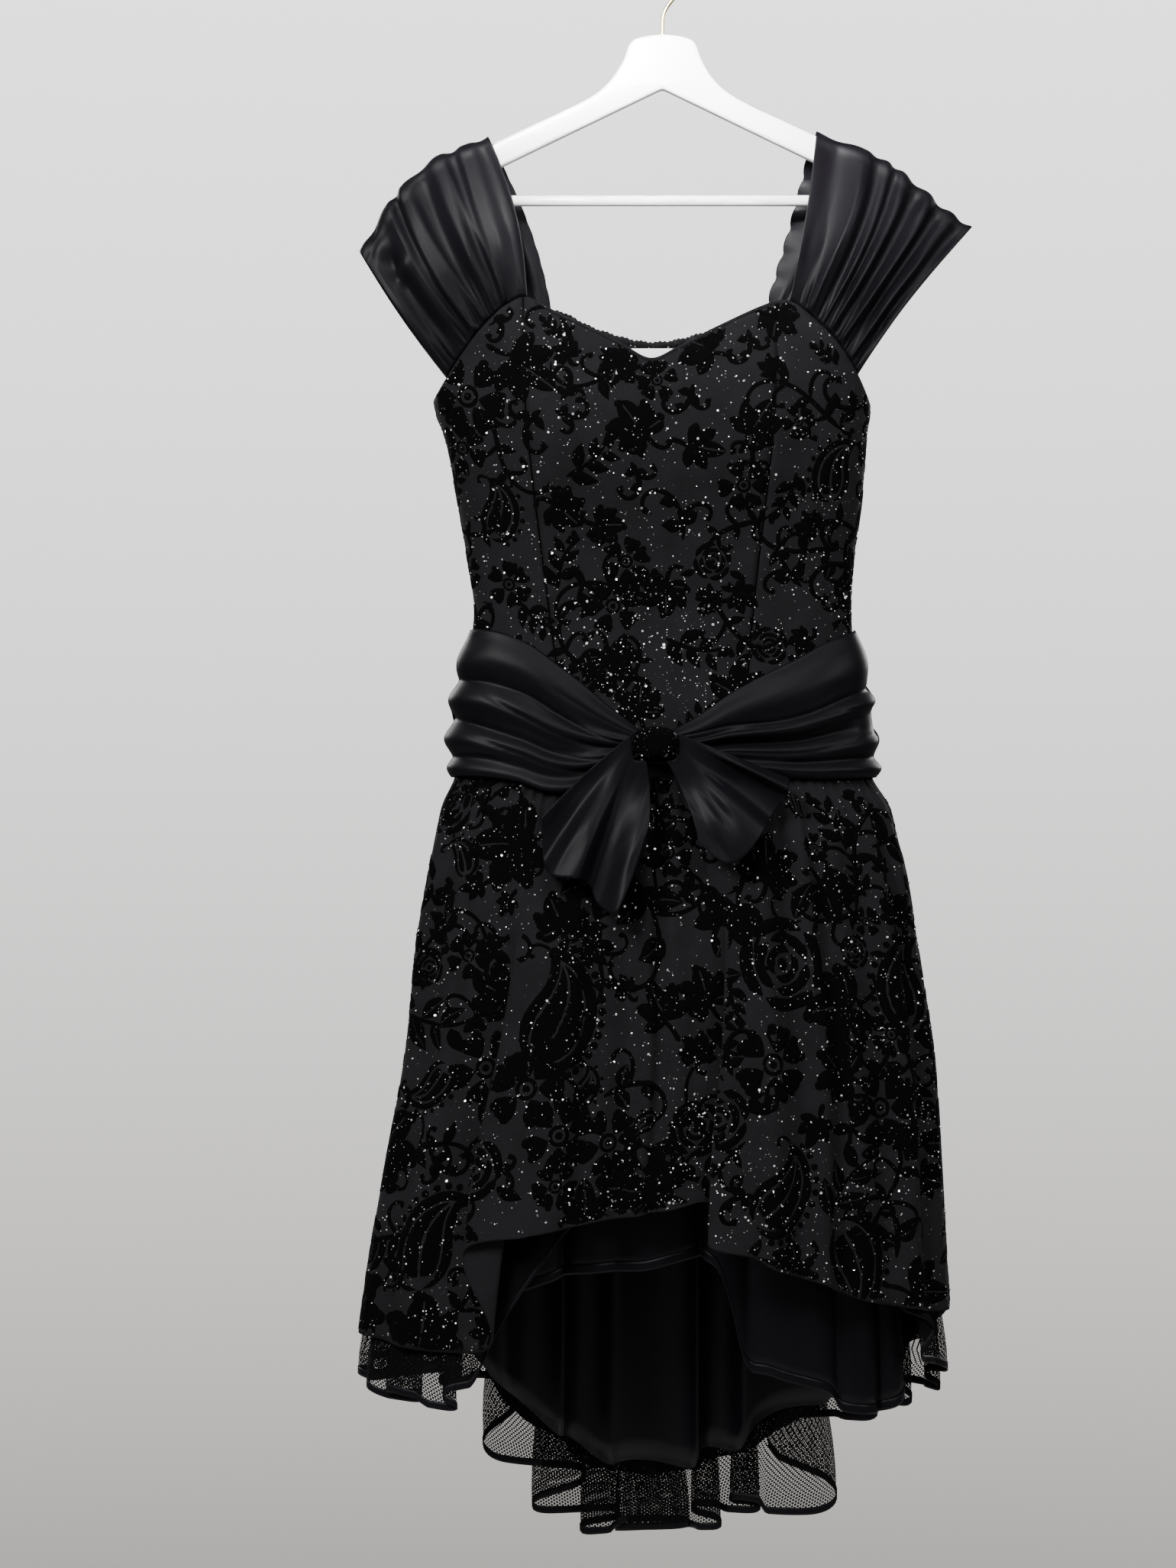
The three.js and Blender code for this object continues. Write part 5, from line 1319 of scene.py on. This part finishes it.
def lining(turn, share):
    """A point on the lining. share is 0 at the waist and 1 at the hem."""
    top_z = lining_levels["z"][0]
    z = mix(top_z, lining_hem_z(turn), share)
    amount = ease((top_z - z) / 320)
    phase, behind = lining_fold(turn)
    out = mix(lining_folds["depth"], lining_folds["back_depth"], behind) * np.cos(phase) * amount
    shift = lining_folds["lean"] * np.sin(phase) * amount
    return moved(lining_levels, turn, z, out, shift)


def lining_band(turn, share):
    """The turned-up hem, standing a little proud of the lining."""
    length = lining_levels["z"][0] - lining_hem_z(turn)
    point = lining(turn, 1 - (1 - share) * hem_band["height"] / length)
    return point + round_and_out(lining_levels, turn, point[..., 2])[1] * hem_band["proud"]


lining_satin = new_material("lining satin", Roughness=0.42, Specular_IOR_Level=0.14)
lining_cloud = texture(lining_satin, "ShaderNodeTexNoise", "Object", 12, detail=3)
lining_floats = texture(lining_satin, "ShaderNodeTexNoise", "UV", 800, detail=2, stretch=(1, 0.15, 1))
shaded(lining_satin, "Base Color", lining_cloud, "Fac", (0.0016, 0.0016, 0.0026), (0.0028, 0.0028, 0.0044))
bumped(lining_satin, [(lining_floats, "Fac", 0.0002, 0.25)])
lining_cuts = {"front": {"flat": (0.60, 0.60), "area": 0.24}, "back": {"flat": (0.56, 0.66), "area": 0.28}}
for side, cut in lining_cuts.items():
    first, last = half_turns[side]
    turns = np.linspace(first + 2 * seam_turn, last - 2 * seam_turn, 151)
    piece = cloth(
        "lining_panel_" + side, turns, np.linspace(0, 1, 31), lining, lining_thickness, lining_satin,
        "lining_" + side)
    band = cloth(
        "lining_hem_" + side, turns, np.linspace(0, 1, 5), lining_band, hem_band["wall"], lining_satin)

# The cap sleeves: bands of satin, gathered into the front corner, laid over the hanger's arm and
# gathered again into the back. Folds run over the band, and short gathers leave both seams.
sleeves = {
    "left": {
        "mirror": -1, "neck_bow": 8, "outer_bow": -3,
        "lines": table(
            "along seam_x ridge_x ridge_z back_x",
            (0, 124, 160, -167.6, 102), (0.2, 143, 187, -177.3, 122), (0.4, 157, 215, -190, 142),
            (0.6, 170, 240.5, -214, 162), (0.8, 184, 264, -246, 181), (1, 197, 278, -273, 197)),
        "folds": table(
            "along width depth",
            (0.06, 0.08, 4), (0.25, 0.07, 6), (0.46, 0.12, 7), (0.645, 0.045, 6), (0.84, 0.13, 8)),
    },
    "right": {
        "mirror": 1, "neck_bow": -2, "outer_bow": 6,
        "lines": table(
            "along seam_x ridge_x ridge_z back_x",
            (0, 115, 141, -162.8, 98), (0.2, 131, 176, -175, 116), (0.4, 146, 208, -191, 134),
            (0.6, 158, 235, -211, 151), (0.8, 168, 260, -233, 166), (1, 178, 284, -250, 178)),
        "folds": table(
            "along width depth",
            (0.11, 0.12, 6), (0.33, 0.06, 5), (0.44, 0.05, 5), (0.585, 0.09, 7), (0.76, 0.08, 7),
            (0.93, 0.08, 6)),
    },
}
sleeve_shape = {"ridge_half": 14, "outer_half": 9, "puff": 13, "back_puff": 8, "seam_lift": 1.3}
sleeve_cap = {"from": 0.88, "height": 12}
satin_thickness = 0.9
sleeve_gathers = table(
    "along width depth length",
    (0.1, 0.016, 1.6, 0.16), (0.17, 0.02, 2.4, 0.3), (0.21, 0.014, 1.5, 0.14), (0.31, 0.018, 2.2, 0.24),
    (0.36, 0.014, 1.6, 0.16), (0.4, 0.02, 2.4, 0.34), (0.5, 0.016, 1.8, 0.2), (0.54, 0.02, 2.4, 0.3),
    (0.6, 0.014, 1.4, 0.13), (0.7, 0.02, 2.2, 0.26), (0.75, 0.014, 1.6, 0.15), (0.88, 0.02, 2.0, 0.22),
    (0.94, 0.016, 1.6, 0.3),
)
# Creases between the folds: from a share of the seam to a share of the ridge.
sleeve_creases = {
    "left": table(
        "along end width depth length",
        (0.2, 0.3, 0.05, 4.6, 1.02), (0.33, 0.37, 0.025, 1.8, 0.5), (0.47, 0.56, 0.045, 3.6, 1.02),
        (0.6, 0.69, 0.05, 4.6, 1.02), (0.41, 0.46, 0.02, 1.6, 0.4), (0.86, 0.82, 0.03, 2.2, 0.45)),
    "right": table(
        "along end width depth length",
        (0.22, 0.25, 0.055, 4.4, 1.02), (0.38, 0.41, 0.03, 2.4, 0.7), (0.48, 0.53, 0.045, 3.8, 1.02),
        (0.64, 0.72, 0.045, 4.2, 1.02), (0.58, 0.6, 0.025, 1.6, 0.45), (0.84, 0.87, 0.035, 2.8, 0.8)),
}
# Dents where the cloth sinks: their middle, their half widths and their depth.
sleeve_dents = {
    "left": table(
        "along over wide tall depth",
        (0.86, 0.84, 0.11, 0.12, 8), (0.83, 0.62, 0.13, 0.08, 5), (0.4, 0.42, 0.07, 0.3, 2.6),
        (0.13, 0.3, 0.08, 0.2, 2), (0.6, 1.5, 0.2, 0.2, 3)),
    "right": table(
        "along over wide tall depth",
        (0.33, 0.56, 0.08, 0.3, 3.2), (0.92, 0.6, 0.1, 0.2, 4), (0.13, 0.34, 0.07, 0.2, 2.4),
        (0.7, 0.86, 0.06, 0.1, 3), (0.5, 1.5, 0.2, 0.2, 3)),
}
fold_bend = 0.07
elastic_edge = {"left": {"scallops": 7, "depth": 0.8}, "right": {"scallops": 6, "depth": 3.4}}
elastic_width = 0.1
# The strips by which a sleeve is sewn in: how far inside the bodice they lie, how far they stand above
# its edge, and their height.
sewn_inside = {"in": 1.9, "above": 1.5, "height": 8}


def sleeve_base(sleeve, along, over):
    """over is 0 at the front seam, 1 on the ridge over the arm and 2 at the back seam."""
    lines = sleeve["lines"]
    read = lambda column: table_at(lines, column, along)
    front = over <= 1
    rise = np.where(front, over, 2 - over)
    seam_x = np.where(front, read("seam_x"), read("back_x")) * sleeve["mirror"]
    front_z = table_at(front_top_edge, "z", seam_x)
    back_z = table_at(back_top_edge, "z", seam_x)
    seam_z = np.where(front, front_z, back_z) + sleeve_shape["seam_lift"]
    front_turn = turn_at_x(dress_levels, seam_x, seam_z)
    seam_y = np.abs(bodice(np.where(front, front_turn, 1 - front_turn), seam_z)[..., 1])
    ridge_z = read("ridge_z")
    lean = np.clip(rise / sleeve_cap["from"], 0, 1)
    over_cap = np.clip((rise - sleeve_cap["from"]) / (1 - sleeve_cap["from"]), 0, 1) * np.pi / 2
    z = mix(seam_z, ridge_z - sleeve_cap["height"], lean) + sleeve_cap["height"] * np.sin(over_cap)
    height_share = (z - seam_z) / (ridge_z - seam_z)
    bow = mix(sleeve["neck_bow"], sleeve["outer_bow"], along) * np.sin(np.pi * height_share)
    x = mix(seam_x, read("ridge_x") * sleeve["mirror"], height_share) - bow * sleeve["mirror"]
    ridge_half = mix(sleeve_shape["ridge_half"], sleeve_shape["outer_half"], along)
    puff = np.where(front, sleeve_shape["puff"], sleeve_shape["back_puff"]) * np.sin(np.pi * lean)
    y = (mix(seam_y, ridge_half, lean) + puff) * np.cos(over_cap)
    return np.stack([x, np.where(front, -y, y), z], -1)


def sleeve_point(sleeve, along, over):
    """A point on a sleeve, with its folds, dents, gathers and creases."""
    step = 0.002
    base = sleeve_base(sleeve, along, over)
    along_step = sleeve_base(sleeve, np.minimum(along + step, 1), over) - sleeve_base(
        sleeve, np.maximum(along - step, 0), over)
    over_step = sleeve_base(sleeve, along, np.minimum(over + step, 2)) - sleeve_base(
        sleeve, along, np.maximum(over - step, 0))
    out = -sleeve["mirror"] * np.cross(along_step, over_step)
    out = out / np.linalg.norm(out, axis=-1, keepdims=True)
    rise = np.where(over <= 1, over, 2 - over)
    amount = mix(0.1, 1, ease(rise / 0.3)) * mix(1, 0.45, ease((rise - 0.8) / 0.2))
    bent = along - fold_bend * np.sin(np.pi * rise) * np.sin(np.pi * along)
    height = sum(
        depth * hump((bent - at) / width) for at, width, depth in zip(*sleeve["folds"].values())
    ) * amount
    for at, at_over, wide, tall, depth in zip(*sleeve["dents"].values()):
        height = height - depth * hump((along - at) / wide) * hump((over - at_over) / tall)
    for at, width, depth, length in zip(*sleeve_gathers.values()):
        fading = ease(rise / 0.03) * (1 - ease(rise / length))
        height = height + depth * hump((bent - at) / width) * fading
    kept = ease(along / 0.04) * ease((1 - along) / 0.04) * ease(rise / 0.04)
    for at, end, width, depth, length in zip(*sleeve["creases"].values()):
        aside = np.abs(bent - mix(at, end, rise)) / (width * mix(0.6, 1.3, rise))
        fading = (1 - ease((rise - length + 0.3) / 0.3)) * mix(1, 0.4, ease((rise - 0.82) / 0.18))
        height = height - depth * kept * np.exp(-1.3 * aside ** 1.3) * fading
    elastic = sleeve["elastic"]
    behind = np.clip((over - 1.15) / 0.82, 0, 1)
    swell = elastic["depth"] * np.abs(np.sin(np.pi * elastic["scallops"] * behind)) ** 0.7
    aside_way = along_step / np.linalg.norm(along_step, axis=-1, keepdims=True)
    near_edge = 1 - ease(along / elastic_width)
    swell = swell * near_edge
    return base + out * (height + 0.5 * swell)[..., None] - aside_way * swell[..., None]


def seam_allowance(sleeve, along, down, seam_over):
    """The sleeve's edge inside the bodice, where it is sewn on."""
    point = sleeve_base(sleeve, along, np.full_like(along, seam_over))
    point[..., 1] -= np.sign(point[..., 1]) * sewn_inside["in"] * ease(0.3 + down)
    point[..., 2] += sewn_inside["above"] - down * sewn_inside["height"]
    return point


for side, sleeve in sleeves.items():
    sleeve.update(creases=sleeve_creases[side], dents=sleeve_dents[side], elastic=elastic_edge[side])
    across = np.linspace(0, 1, 101) if sleeve["mirror"] > 0 else np.linspace(1, 0, 101)
    up, round_ridge = np.linspace(0, sleeve_cap["from"], 46), np.linspace(sleeve_cap["from"], 1, 12)
    rise = np.concatenate([up, round_ridge[1:]])
    over = np.concatenate([rise, 2 - rise[-2::-1]])[::-1]
    piece = cloth(
        "sleeve_cap_" + side, across, over, lambda along, over, s=sleeve: sleeve_point(s, along, over),
        satin_thickness, satin, "sleeve_" + side)
    allowances = [
        cloth(
            "sleeve_seam_" + side + "_" + end, across, np.linspace(0, 1, 6),
            lambda along, down, s=sleeve, at=seam_over: seam_allowance(s, along, down, at), 0, satin)
        for end, seam_over in (("front", 0.0), ("back", 2.0))
    ]

# The sash: satin laid round the waist in soft pleats, pulled together under the bow's knot in front.
# It is sewn into the side seams and at the knot.
sash_stretches = {
    "front_left": {
        "edges": table(
            "turn upper lower",
            (0, -620, -755), (0.06, -622, -755), (0.1, -634, -759), (0.13, -652, -768),
            (0.158, -670, -768), (0.187, -690, -757), (0.224, -712, -738)),
        "folds": table(
            "start middle end width depth",
            (0.2, 0.18, 0.2, 0.17, 4), (0.47, 0.5, 0.45, 0.12, 5), (0.74, 0.78, 0.68, 0.12, 6),
            (0.94, 0.97, 0.9, 0.08, 4)),
        "columns": 130, "flat": (0.22, 0.17), "area": 0.026,
    },
    "front_right": {
        "edges": table(
            "turn upper lower",
            (0.26, -712, -738), (0.292, -699, -746), (0.327, -680, -750), (0.361, -664, -754),
            (0.393, -650, -757), (0.44, -630, -757), (0.5, -620, -755)),
        "folds": table(
            "start middle end width depth",
            (0.25, 0.26, 0.2, 0.22, 5), (0.5, 0.56, 0.47, 0.09, 6), (0.72, 0.76, 0.74, 0.1, 4),
            (0.9, 0.93, 0.94, 0.08, 5)),
        "columns": 130, "flat": (0.23, 0.17), "area": 0.025,
    },
    "back": {
        "edges": table(
            "turn upper lower",
            (0.5, -620, -755), (0.6, -628, -757), (0.75, -632, -758), (0.9, -628, -757), (1, -620, -755)),
        "folds": table(
            "start middle end width depth",
            (0.2, 0.24, 0.2, 0.17, 4), (0.47, 0.5, 0.47, 0.11, 5), (0.74, 0.75, 0.74, 0.11, 5),
            (0.94, 0.93, 0.94, 0.08, 4)),
        "columns": 150, "flat": (0.44, 0.16), "area": 0.063,
    },
}
sash_lift = {"upper": 2.55, "lower": 3.9, "middle": 4.5, "least": 1.4}
# Creases between the folds: shares of the sash's width at the start, the middle and the end, and the
# shares of its length over which each one lasts.
sash_creases = {
    "front_left": table(
        "start middle end width depth first last",
        (0.34, 0.36, 0.5, 0.04, 3.6, -0.1, 1.1), (0.3, 0.52, 0.6, 0.03, 2.6, 0.25, 1.1),
        (0.6, 0.7, 0.72, 0.06, 5.0, -0.1, 1.1), (0.66, 0.8, 0.84, 0.03, 2.4, 0.2, 0.9),
        (0.86, 0.87, 0.9, 0.035, 2.6, -0.1, 0.45), (0.12, 0.2, 0.24, 0.06, 1.6, 0.5, 1.1),
        (0.1, 0.02, 0.1, 0.12, 1.2, 0.05, 0.3)),
    "front_right": table(
        "start middle end width depth first last",
        (0.3, 0.48, 0.4, 0.03, 2.6, -0.1, 1.1), (0.42, 0.53, 0.46, 0.02, 1.6, -0.1, 0.6),
        (0.62, 0.68, 0.62, 0.075, 6.0, -0.1, 0.85), (0.72, 0.78, 0.7, 0.03, 2.2, 0.1, 1.1),
        (0.86, 0.86, 0.86, 0.04, 3.4, 0.4, 1.1), (0.36, 0.5, 0.52, 0.02, 1.8, 0.6, 0.98)),
    "back": table(
        "start middle end width depth first last",
        (0.34, 0.36, 0.34, 0.045, 3.0, -0.1, 1.1), (0.5, 0.6, 0.52, 0.03, 2.2, 0.1, 0.7),
        (0.62, 0.66, 0.62, 0.05, 3.6, -0.1, 1.1), (0.86, 0.85, 0.86, 0.04, 2.4, -0.1, 1.1),
        (0.2, 0.1, 0.2, 0.06, 1.4, 0.3, 0.9)),
}


def between(start, middle, end, t):
    """A value that is given at the start, the middle and the end of a stretch."""
    return np.where(t < 0.5, mix(start, middle, ease(2 * t)), mix(middle, end, ease(2 * t - 1)))


def sash_point(stretch, turn, share):
    """A point on the sash: its folds run along it, and share goes from its upper to its lower edge."""
    edges, folds = stretch["edges"], stretch["folds"]
    upper = table_at(edges, "upper", turn)
    lower = table_at(edges, "lower", turn)
    z = mix(upper, lower, share)
    t = (turn - edges["turn"][0]) / (edges["turn"][-1] - edges["turn"][0])
    lift = mix(sash_lift["upper"], sash_lift["lower"], share)
    lift = lift + sash_lift["middle"] * np.sqrt(np.sin(np.pi * np.clip(share, 0, 1)) + 1e-9)
    room = np.minimum(1, (upper - lower) / 90)
    for start, middle, end, width, depth in zip(*folds.values()):
        lift = lift + depth * room * hump((share - between(start, middle, end, t)) / width)
    kept_clear = ease(share / 0.06) * ease((1 - share) / 0.06)
    for start, middle, end, width, depth, begins, ends in zip(*stretch["creases"].values()):
        aside = np.abs(share - between(start, middle, end, t)) / width
        lasting = ease((t - begins) / 0.15) * ease((ends - t) / 0.15)
        lift = lift - depth * room * kept_clear * lasting * np.exp(-1.5 * aside ** 1.2)
    return moved(dress_levels, turn, z, np.maximum(lift, sash_lift["least"]))


for name, stretch in sash_stretches.items():
    stretch["creases"] = sash_creases[name]
    first, last = stretch["edges"]["turn"][0] + seam_turn, stretch["edges"]["turn"][-1] - seam_turn
    even = np.linspace(0, 1, stretch["columns"] + 1)
    across = mix(first, last, even - 0.08 * np.sin(2 * np.pi * even))
    piece = cloth(
        "sash_wing_" + name, across, np.linspace(0, 1, 73),
        lambda turn, share, s=stretch: sash_point(s, turn, share), satin_thickness, sash_satin,
        "sash_" + name)

# The bow's tails: two fans of doubled satin that hang from the knot over the skirt.
# Each is gathered at its root under the knot and falls in a few broad folds.
bow_tails = {
    "left": table(
        "along root_x root_z end_x end_z forward bulge",
        (0, -28.4, -716, -110, -792, 13, 6), (0.1, -28.4, -718.5, -109, -812, 5, 5),
        (0.2, -28.4, -721, -108, -832, 3, 4), (0.38, -28.4, -727, -99, -843, 20, 3),
        (0.5, -28.5, -731, -79, -845, 22, 2), (0.6, -28.2, -734.5, -68, -850, 3, 1),
        (0.74, -27, -739.4, -60, -868, 4, -2), (0.88, -22, -740.1, -43, -874, 22, -6),
        (1, -16, -740.2, -24, -836, 12, -7)),
    "right": table(
        "along root_x root_z end_x end_z forward bulge",
        (0, 12.4, -716, 112, -756, 14, 5), (0.12, 12.4, -719, 111, -766, 22, 4),
        (0.22, 12.4, -721.6, 109, -774, 7, 3), (0.38, 12.4, -727, 96, -790, 2, 1),
        (0.56, 12.5, -733, 89, -802, 17, 0), (0.72, 10, -738, 71, -825, 20, 1),
        (0.86, 7, -740, 53, -831, 15, 2), (1, 2, -740.2, 30, -814, 12, 5)),
}
# Short dents in the tails: their middle, their half widths and their depth.
tail_dents = {
    "left": table(
        "along down wide tall depth",
        (0.43, 0.85, 0.09, 0.34, 2.6), (0.5, 0.45, 0.08, 0.3, 2), (0.9, 0.72, 0.07, 0.3, 2.2)),
    "right": table(
        "along down wide tall depth",
        (0.68, 0.55, 0.08, 0.34, 4.5), (0.5, 0.4, 0.07, 0.25, 2.5), (0.86, 0.85, 0.1, 0.24, 1.6)),
}
tail_root = {"y": -72.5, "clearance": 11}


def tail_point(rows, dents, along, down):
    """A point on a tail: along its fan from edge to edge, and down from the knot."""
    read = lambda column: table_at(rows, column, along)
    bulge = read("bulge") * np.sin(np.pi * down) * np.sign(rows["end_x"][0])
    x = mix(read("root_x"), read("end_x"), down) + bulge
    z = mix(read("root_z"), read("end_z"), down) - np.abs(bulge) * 0.4
    skirt_y = oval(dress_levels, turn_at_x(dress_levels, x, z), z)[..., 1]
    forward = read("forward") * np.sin(np.pi / 2 * down)
    for at, at_down, wide, tall, depth in zip(*dents.values()):
        forward = forward - depth * hump((along - at) / wide) * hump((down - at_down) / tall)
    forward = tail_root["clearance"] + np.maximum(forward, 0)
    return np.stack([x, mix(tail_root["y"], skirt_y - forward, ease(down * 1.6)), z], -1)


for side, rows in bow_tails.items():
    across = np.linspace(1, 0, 81) if side == "right" else np.linspace(0, 1, 81)
    piece = cloth(
        "bow_fan_" + side, across, np.linspace(0, 1, 51),
        lambda along, down, r=rows, d=tail_dents[side]: tail_point(r, d, along, down), satin_thickness, satin,
        "bow_tail_" + side)

# The bow's knot: a short wrap of the skirt's cloth, cut where flock covers it, with glitter on it.
# It is padded by the sash that it pulls together.
knot = {"x": -8, "z": -724.5, "width": 40, "height": 30, "depth": 22, "back": -58.4}
bpy.ops.object.select_all(action="DESELECT")
bpy.ops.mesh.primitive_uv_sphere_add(segments=64, ring_count=40, radius=1)
knot_wrap = bpy.context.object
knot_wrap.name = "bow_knot_wrap"
ball = np.empty(len(knot_wrap.data.vertices) * 3)
knot_wrap.data.vertices.foreach_get("co", ball)
ball = ball.reshape(-1, 3)
squared = lambda value: np.sign(value) * np.abs(value) ** 0.62
gather = 1 + 0.05 * np.cos(7 * np.pi * ball[:, 0]) + 0.02 * np.cos(23 * ball[:, 0] + 4 * ball[:, 2])
knot_points = np.stack([
    knot["x"] + knot["width"] / 2 * squared(ball[:, 0]),
    knot["back"] - knot["depth"] / 2 * (1 - squared(ball[:, 1])) * np.where(ball[:, 1] < 0, gather, 1),
    knot["z"] + knot["height"] / 2 * squared(ball[:, 2]) * (1 - 0.12 * np.abs(squared(ball[:, 0]))),
], -1)
knot_wrap.data.vertices.foreach_set("co", (knot_points * MM).ravel())
bpy.ops.object.shade_smooth()
dressed(knot_wrap, velvet, "bow_knot")
knot_specks = 46
# The sphere's faces come in another order in each run, so they are sorted by where they are.
seen_faces = [face for face in knot_wrap.data.polygons if face.normal.y < -0.25]
seen_faces.sort(key=lambda face: (round(face.center.x, 4), round(face.center.z, 4), face.center.y))
picked = sprinkling.choice(len(seen_faces), knot_specks, replace=False)
speck_at = np.array([seen_faces[i].center for i in picked]) / MM
speck_out = np.array([seen_faces[i].normal for i in picked])
speck_way = np.cross(speck_out, (0, 0, 1))
speck_way = speck_way / np.linalg.norm(speck_way, axis=-1, keepdims=True)
flake_mesh("knot_glitter", speck_at + speck_out * 0.1, speck_out, speck_way)

# The stage: a pale floor below the hanging dress, soft lights round it and the camera in front.
floor_z = -1.95
bpy.ops.object.select_all(action="DESELECT")
bpy.ops.mesh.primitive_circle_add(vertices=96, radius=1.4, fill_type="NGON", location=(0, 0, floor_z))
floor = bpy.context.object
floor.name = "floor"
floor_paint = new_material("pale floor", Roughness=0.8)
floor_cloud = texture(floor_paint, "ShaderNodeTexNoise", "Object", 3, detail=3)
shaded(floor_paint, "Base Color", floor_cloud, "Fac", (0.62, 0.61, 0.60), (0.68, 0.67, 0.66))
floor.data.materials.append(floor_paint)

world = bpy.data.worlds.new("pale room")
bpy.context.scene.world = world
world.use_nodes = True
nodes, links = world.node_tree.nodes, world.node_tree.links
room_light = nodes["Background"]
room_light.inputs["Color"].default_value = (0.80, 0.79, 0.80, 1)
room_light.inputs["Strength"].default_value = 0.22
# What the camera sees behind the dress: a backdrop painted with shade, darker and warmer towards the floor
# and bright towards the top. The dress itself is lit by the dimmer room light.
wall_seen = nodes.new("ShaderNodeBackground")
wall_seen.inputs["Strength"].default_value = 1.0
way = nodes.new("ShaderNodeTexCoord")
height = nodes.new("ShaderNodeSeparateXYZ")
wall_shade = nodes.new("ShaderNodeMapRange")
for socket, value in (("From Min", -0.24), ("From Max", 0.24), ("To Min", 0.0), ("To Max", 1.0)):
    wall_shade.inputs[socket].default_value = value
wall_painted_shade_ramp = nodes.new("ShaderNodeValToRGB")
wall_painted_shade_ramp.color_ramp.elements[0].color = (0.53, 0.505, 0.475, 1)
wall_painted_shade_ramp.color_ramp.elements[1].color = (2.35, 2.33, 2.33, 1)
links.new(way.outputs["Generated"], height.inputs["Vector"])
links.new(height.outputs["Z"], wall_shade.inputs["Value"])
links.new(wall_shade.outputs["Result"], wall_painted_shade_ramp.inputs["Fac"])
links.new(wall_painted_shade_ramp.outputs["Color"], wall_seen.inputs["Color"])
ray = nodes.new("ShaderNodeLightPath")
either = nodes.new("ShaderNodeMixShader")
links.new(ray.outputs["Is Camera Ray"], either.inputs["Fac"])
links.new(room_light.outputs["Background"], either.inputs[1])
links.new(wall_seen.outputs["Background"], either.inputs[2])
links.new(either.outputs["Shader"], nodes["World Output"].inputs["Surface"])

dress_middle, above_hanger = (-0.03, 0, -0.7), (0, 0, -0.04)
# Each soft light: its name, place, aim, size, power and spread in degrees.
soft_lights = [
    ("window", (-1.6, -1.8, 0.9), dress_middle, 1.1, 100, 180),
    ("fill", (2.0, -1.8, 0.5), dress_middle, 1.3, 42, 180),
    ("top", (0.2, -1.2, 1.1), dress_middle, 0.9, 22, 180),
    ("hanger", (-0.3, -1.5, 0.5), above_hanger, 0.25, 4.5, 20),
    ("back left", (-2.0, 2.2, 0.4), dress_middle, 1.5, 60, 180),
    ("back right", (2.0, 2.3, 0.2), dress_middle, 1.5, 60, 180),
]
for name, at, aim, size, power, spread in soft_lights:
    lamp = bpy.data.lights.new(name, "AREA")
    lamp.shape = "DISK"
    lamp.size = size
    lamp.energy = power
    lamp.spread = math.radians(spread)
    light = bpy.data.objects.new(name, lamp)
    light.location = at
    light.rotation_euler = (Vector(aim) - Vector(at)).to_track_quat("-Z", "Y").to_euler()
    bpy.context.collection.objects.link(light)

photo_size = (1540, 2054)
millimetres_per_pixel = 0.7
camera_distance = 3.0
camera_data = bpy.data.cameras.new("camera")
camera_data.sensor_fit = "AUTO"
camera_data.sensor_width = 36
frame_height = photo_size[1] * millimetres_per_pixel * MM
camera_data.lens = camera_data.sensor_width * camera_distance / frame_height
camera = bpy.data.objects.new("camera", camera_data)
camera.location = (-0.06825, -camera_distance, -0.7613)
camera.rotation_euler = (math.pi / 2, 0, 0)
bpy.context.collection.objects.link(camera)
bpy.context.scene.camera = camera
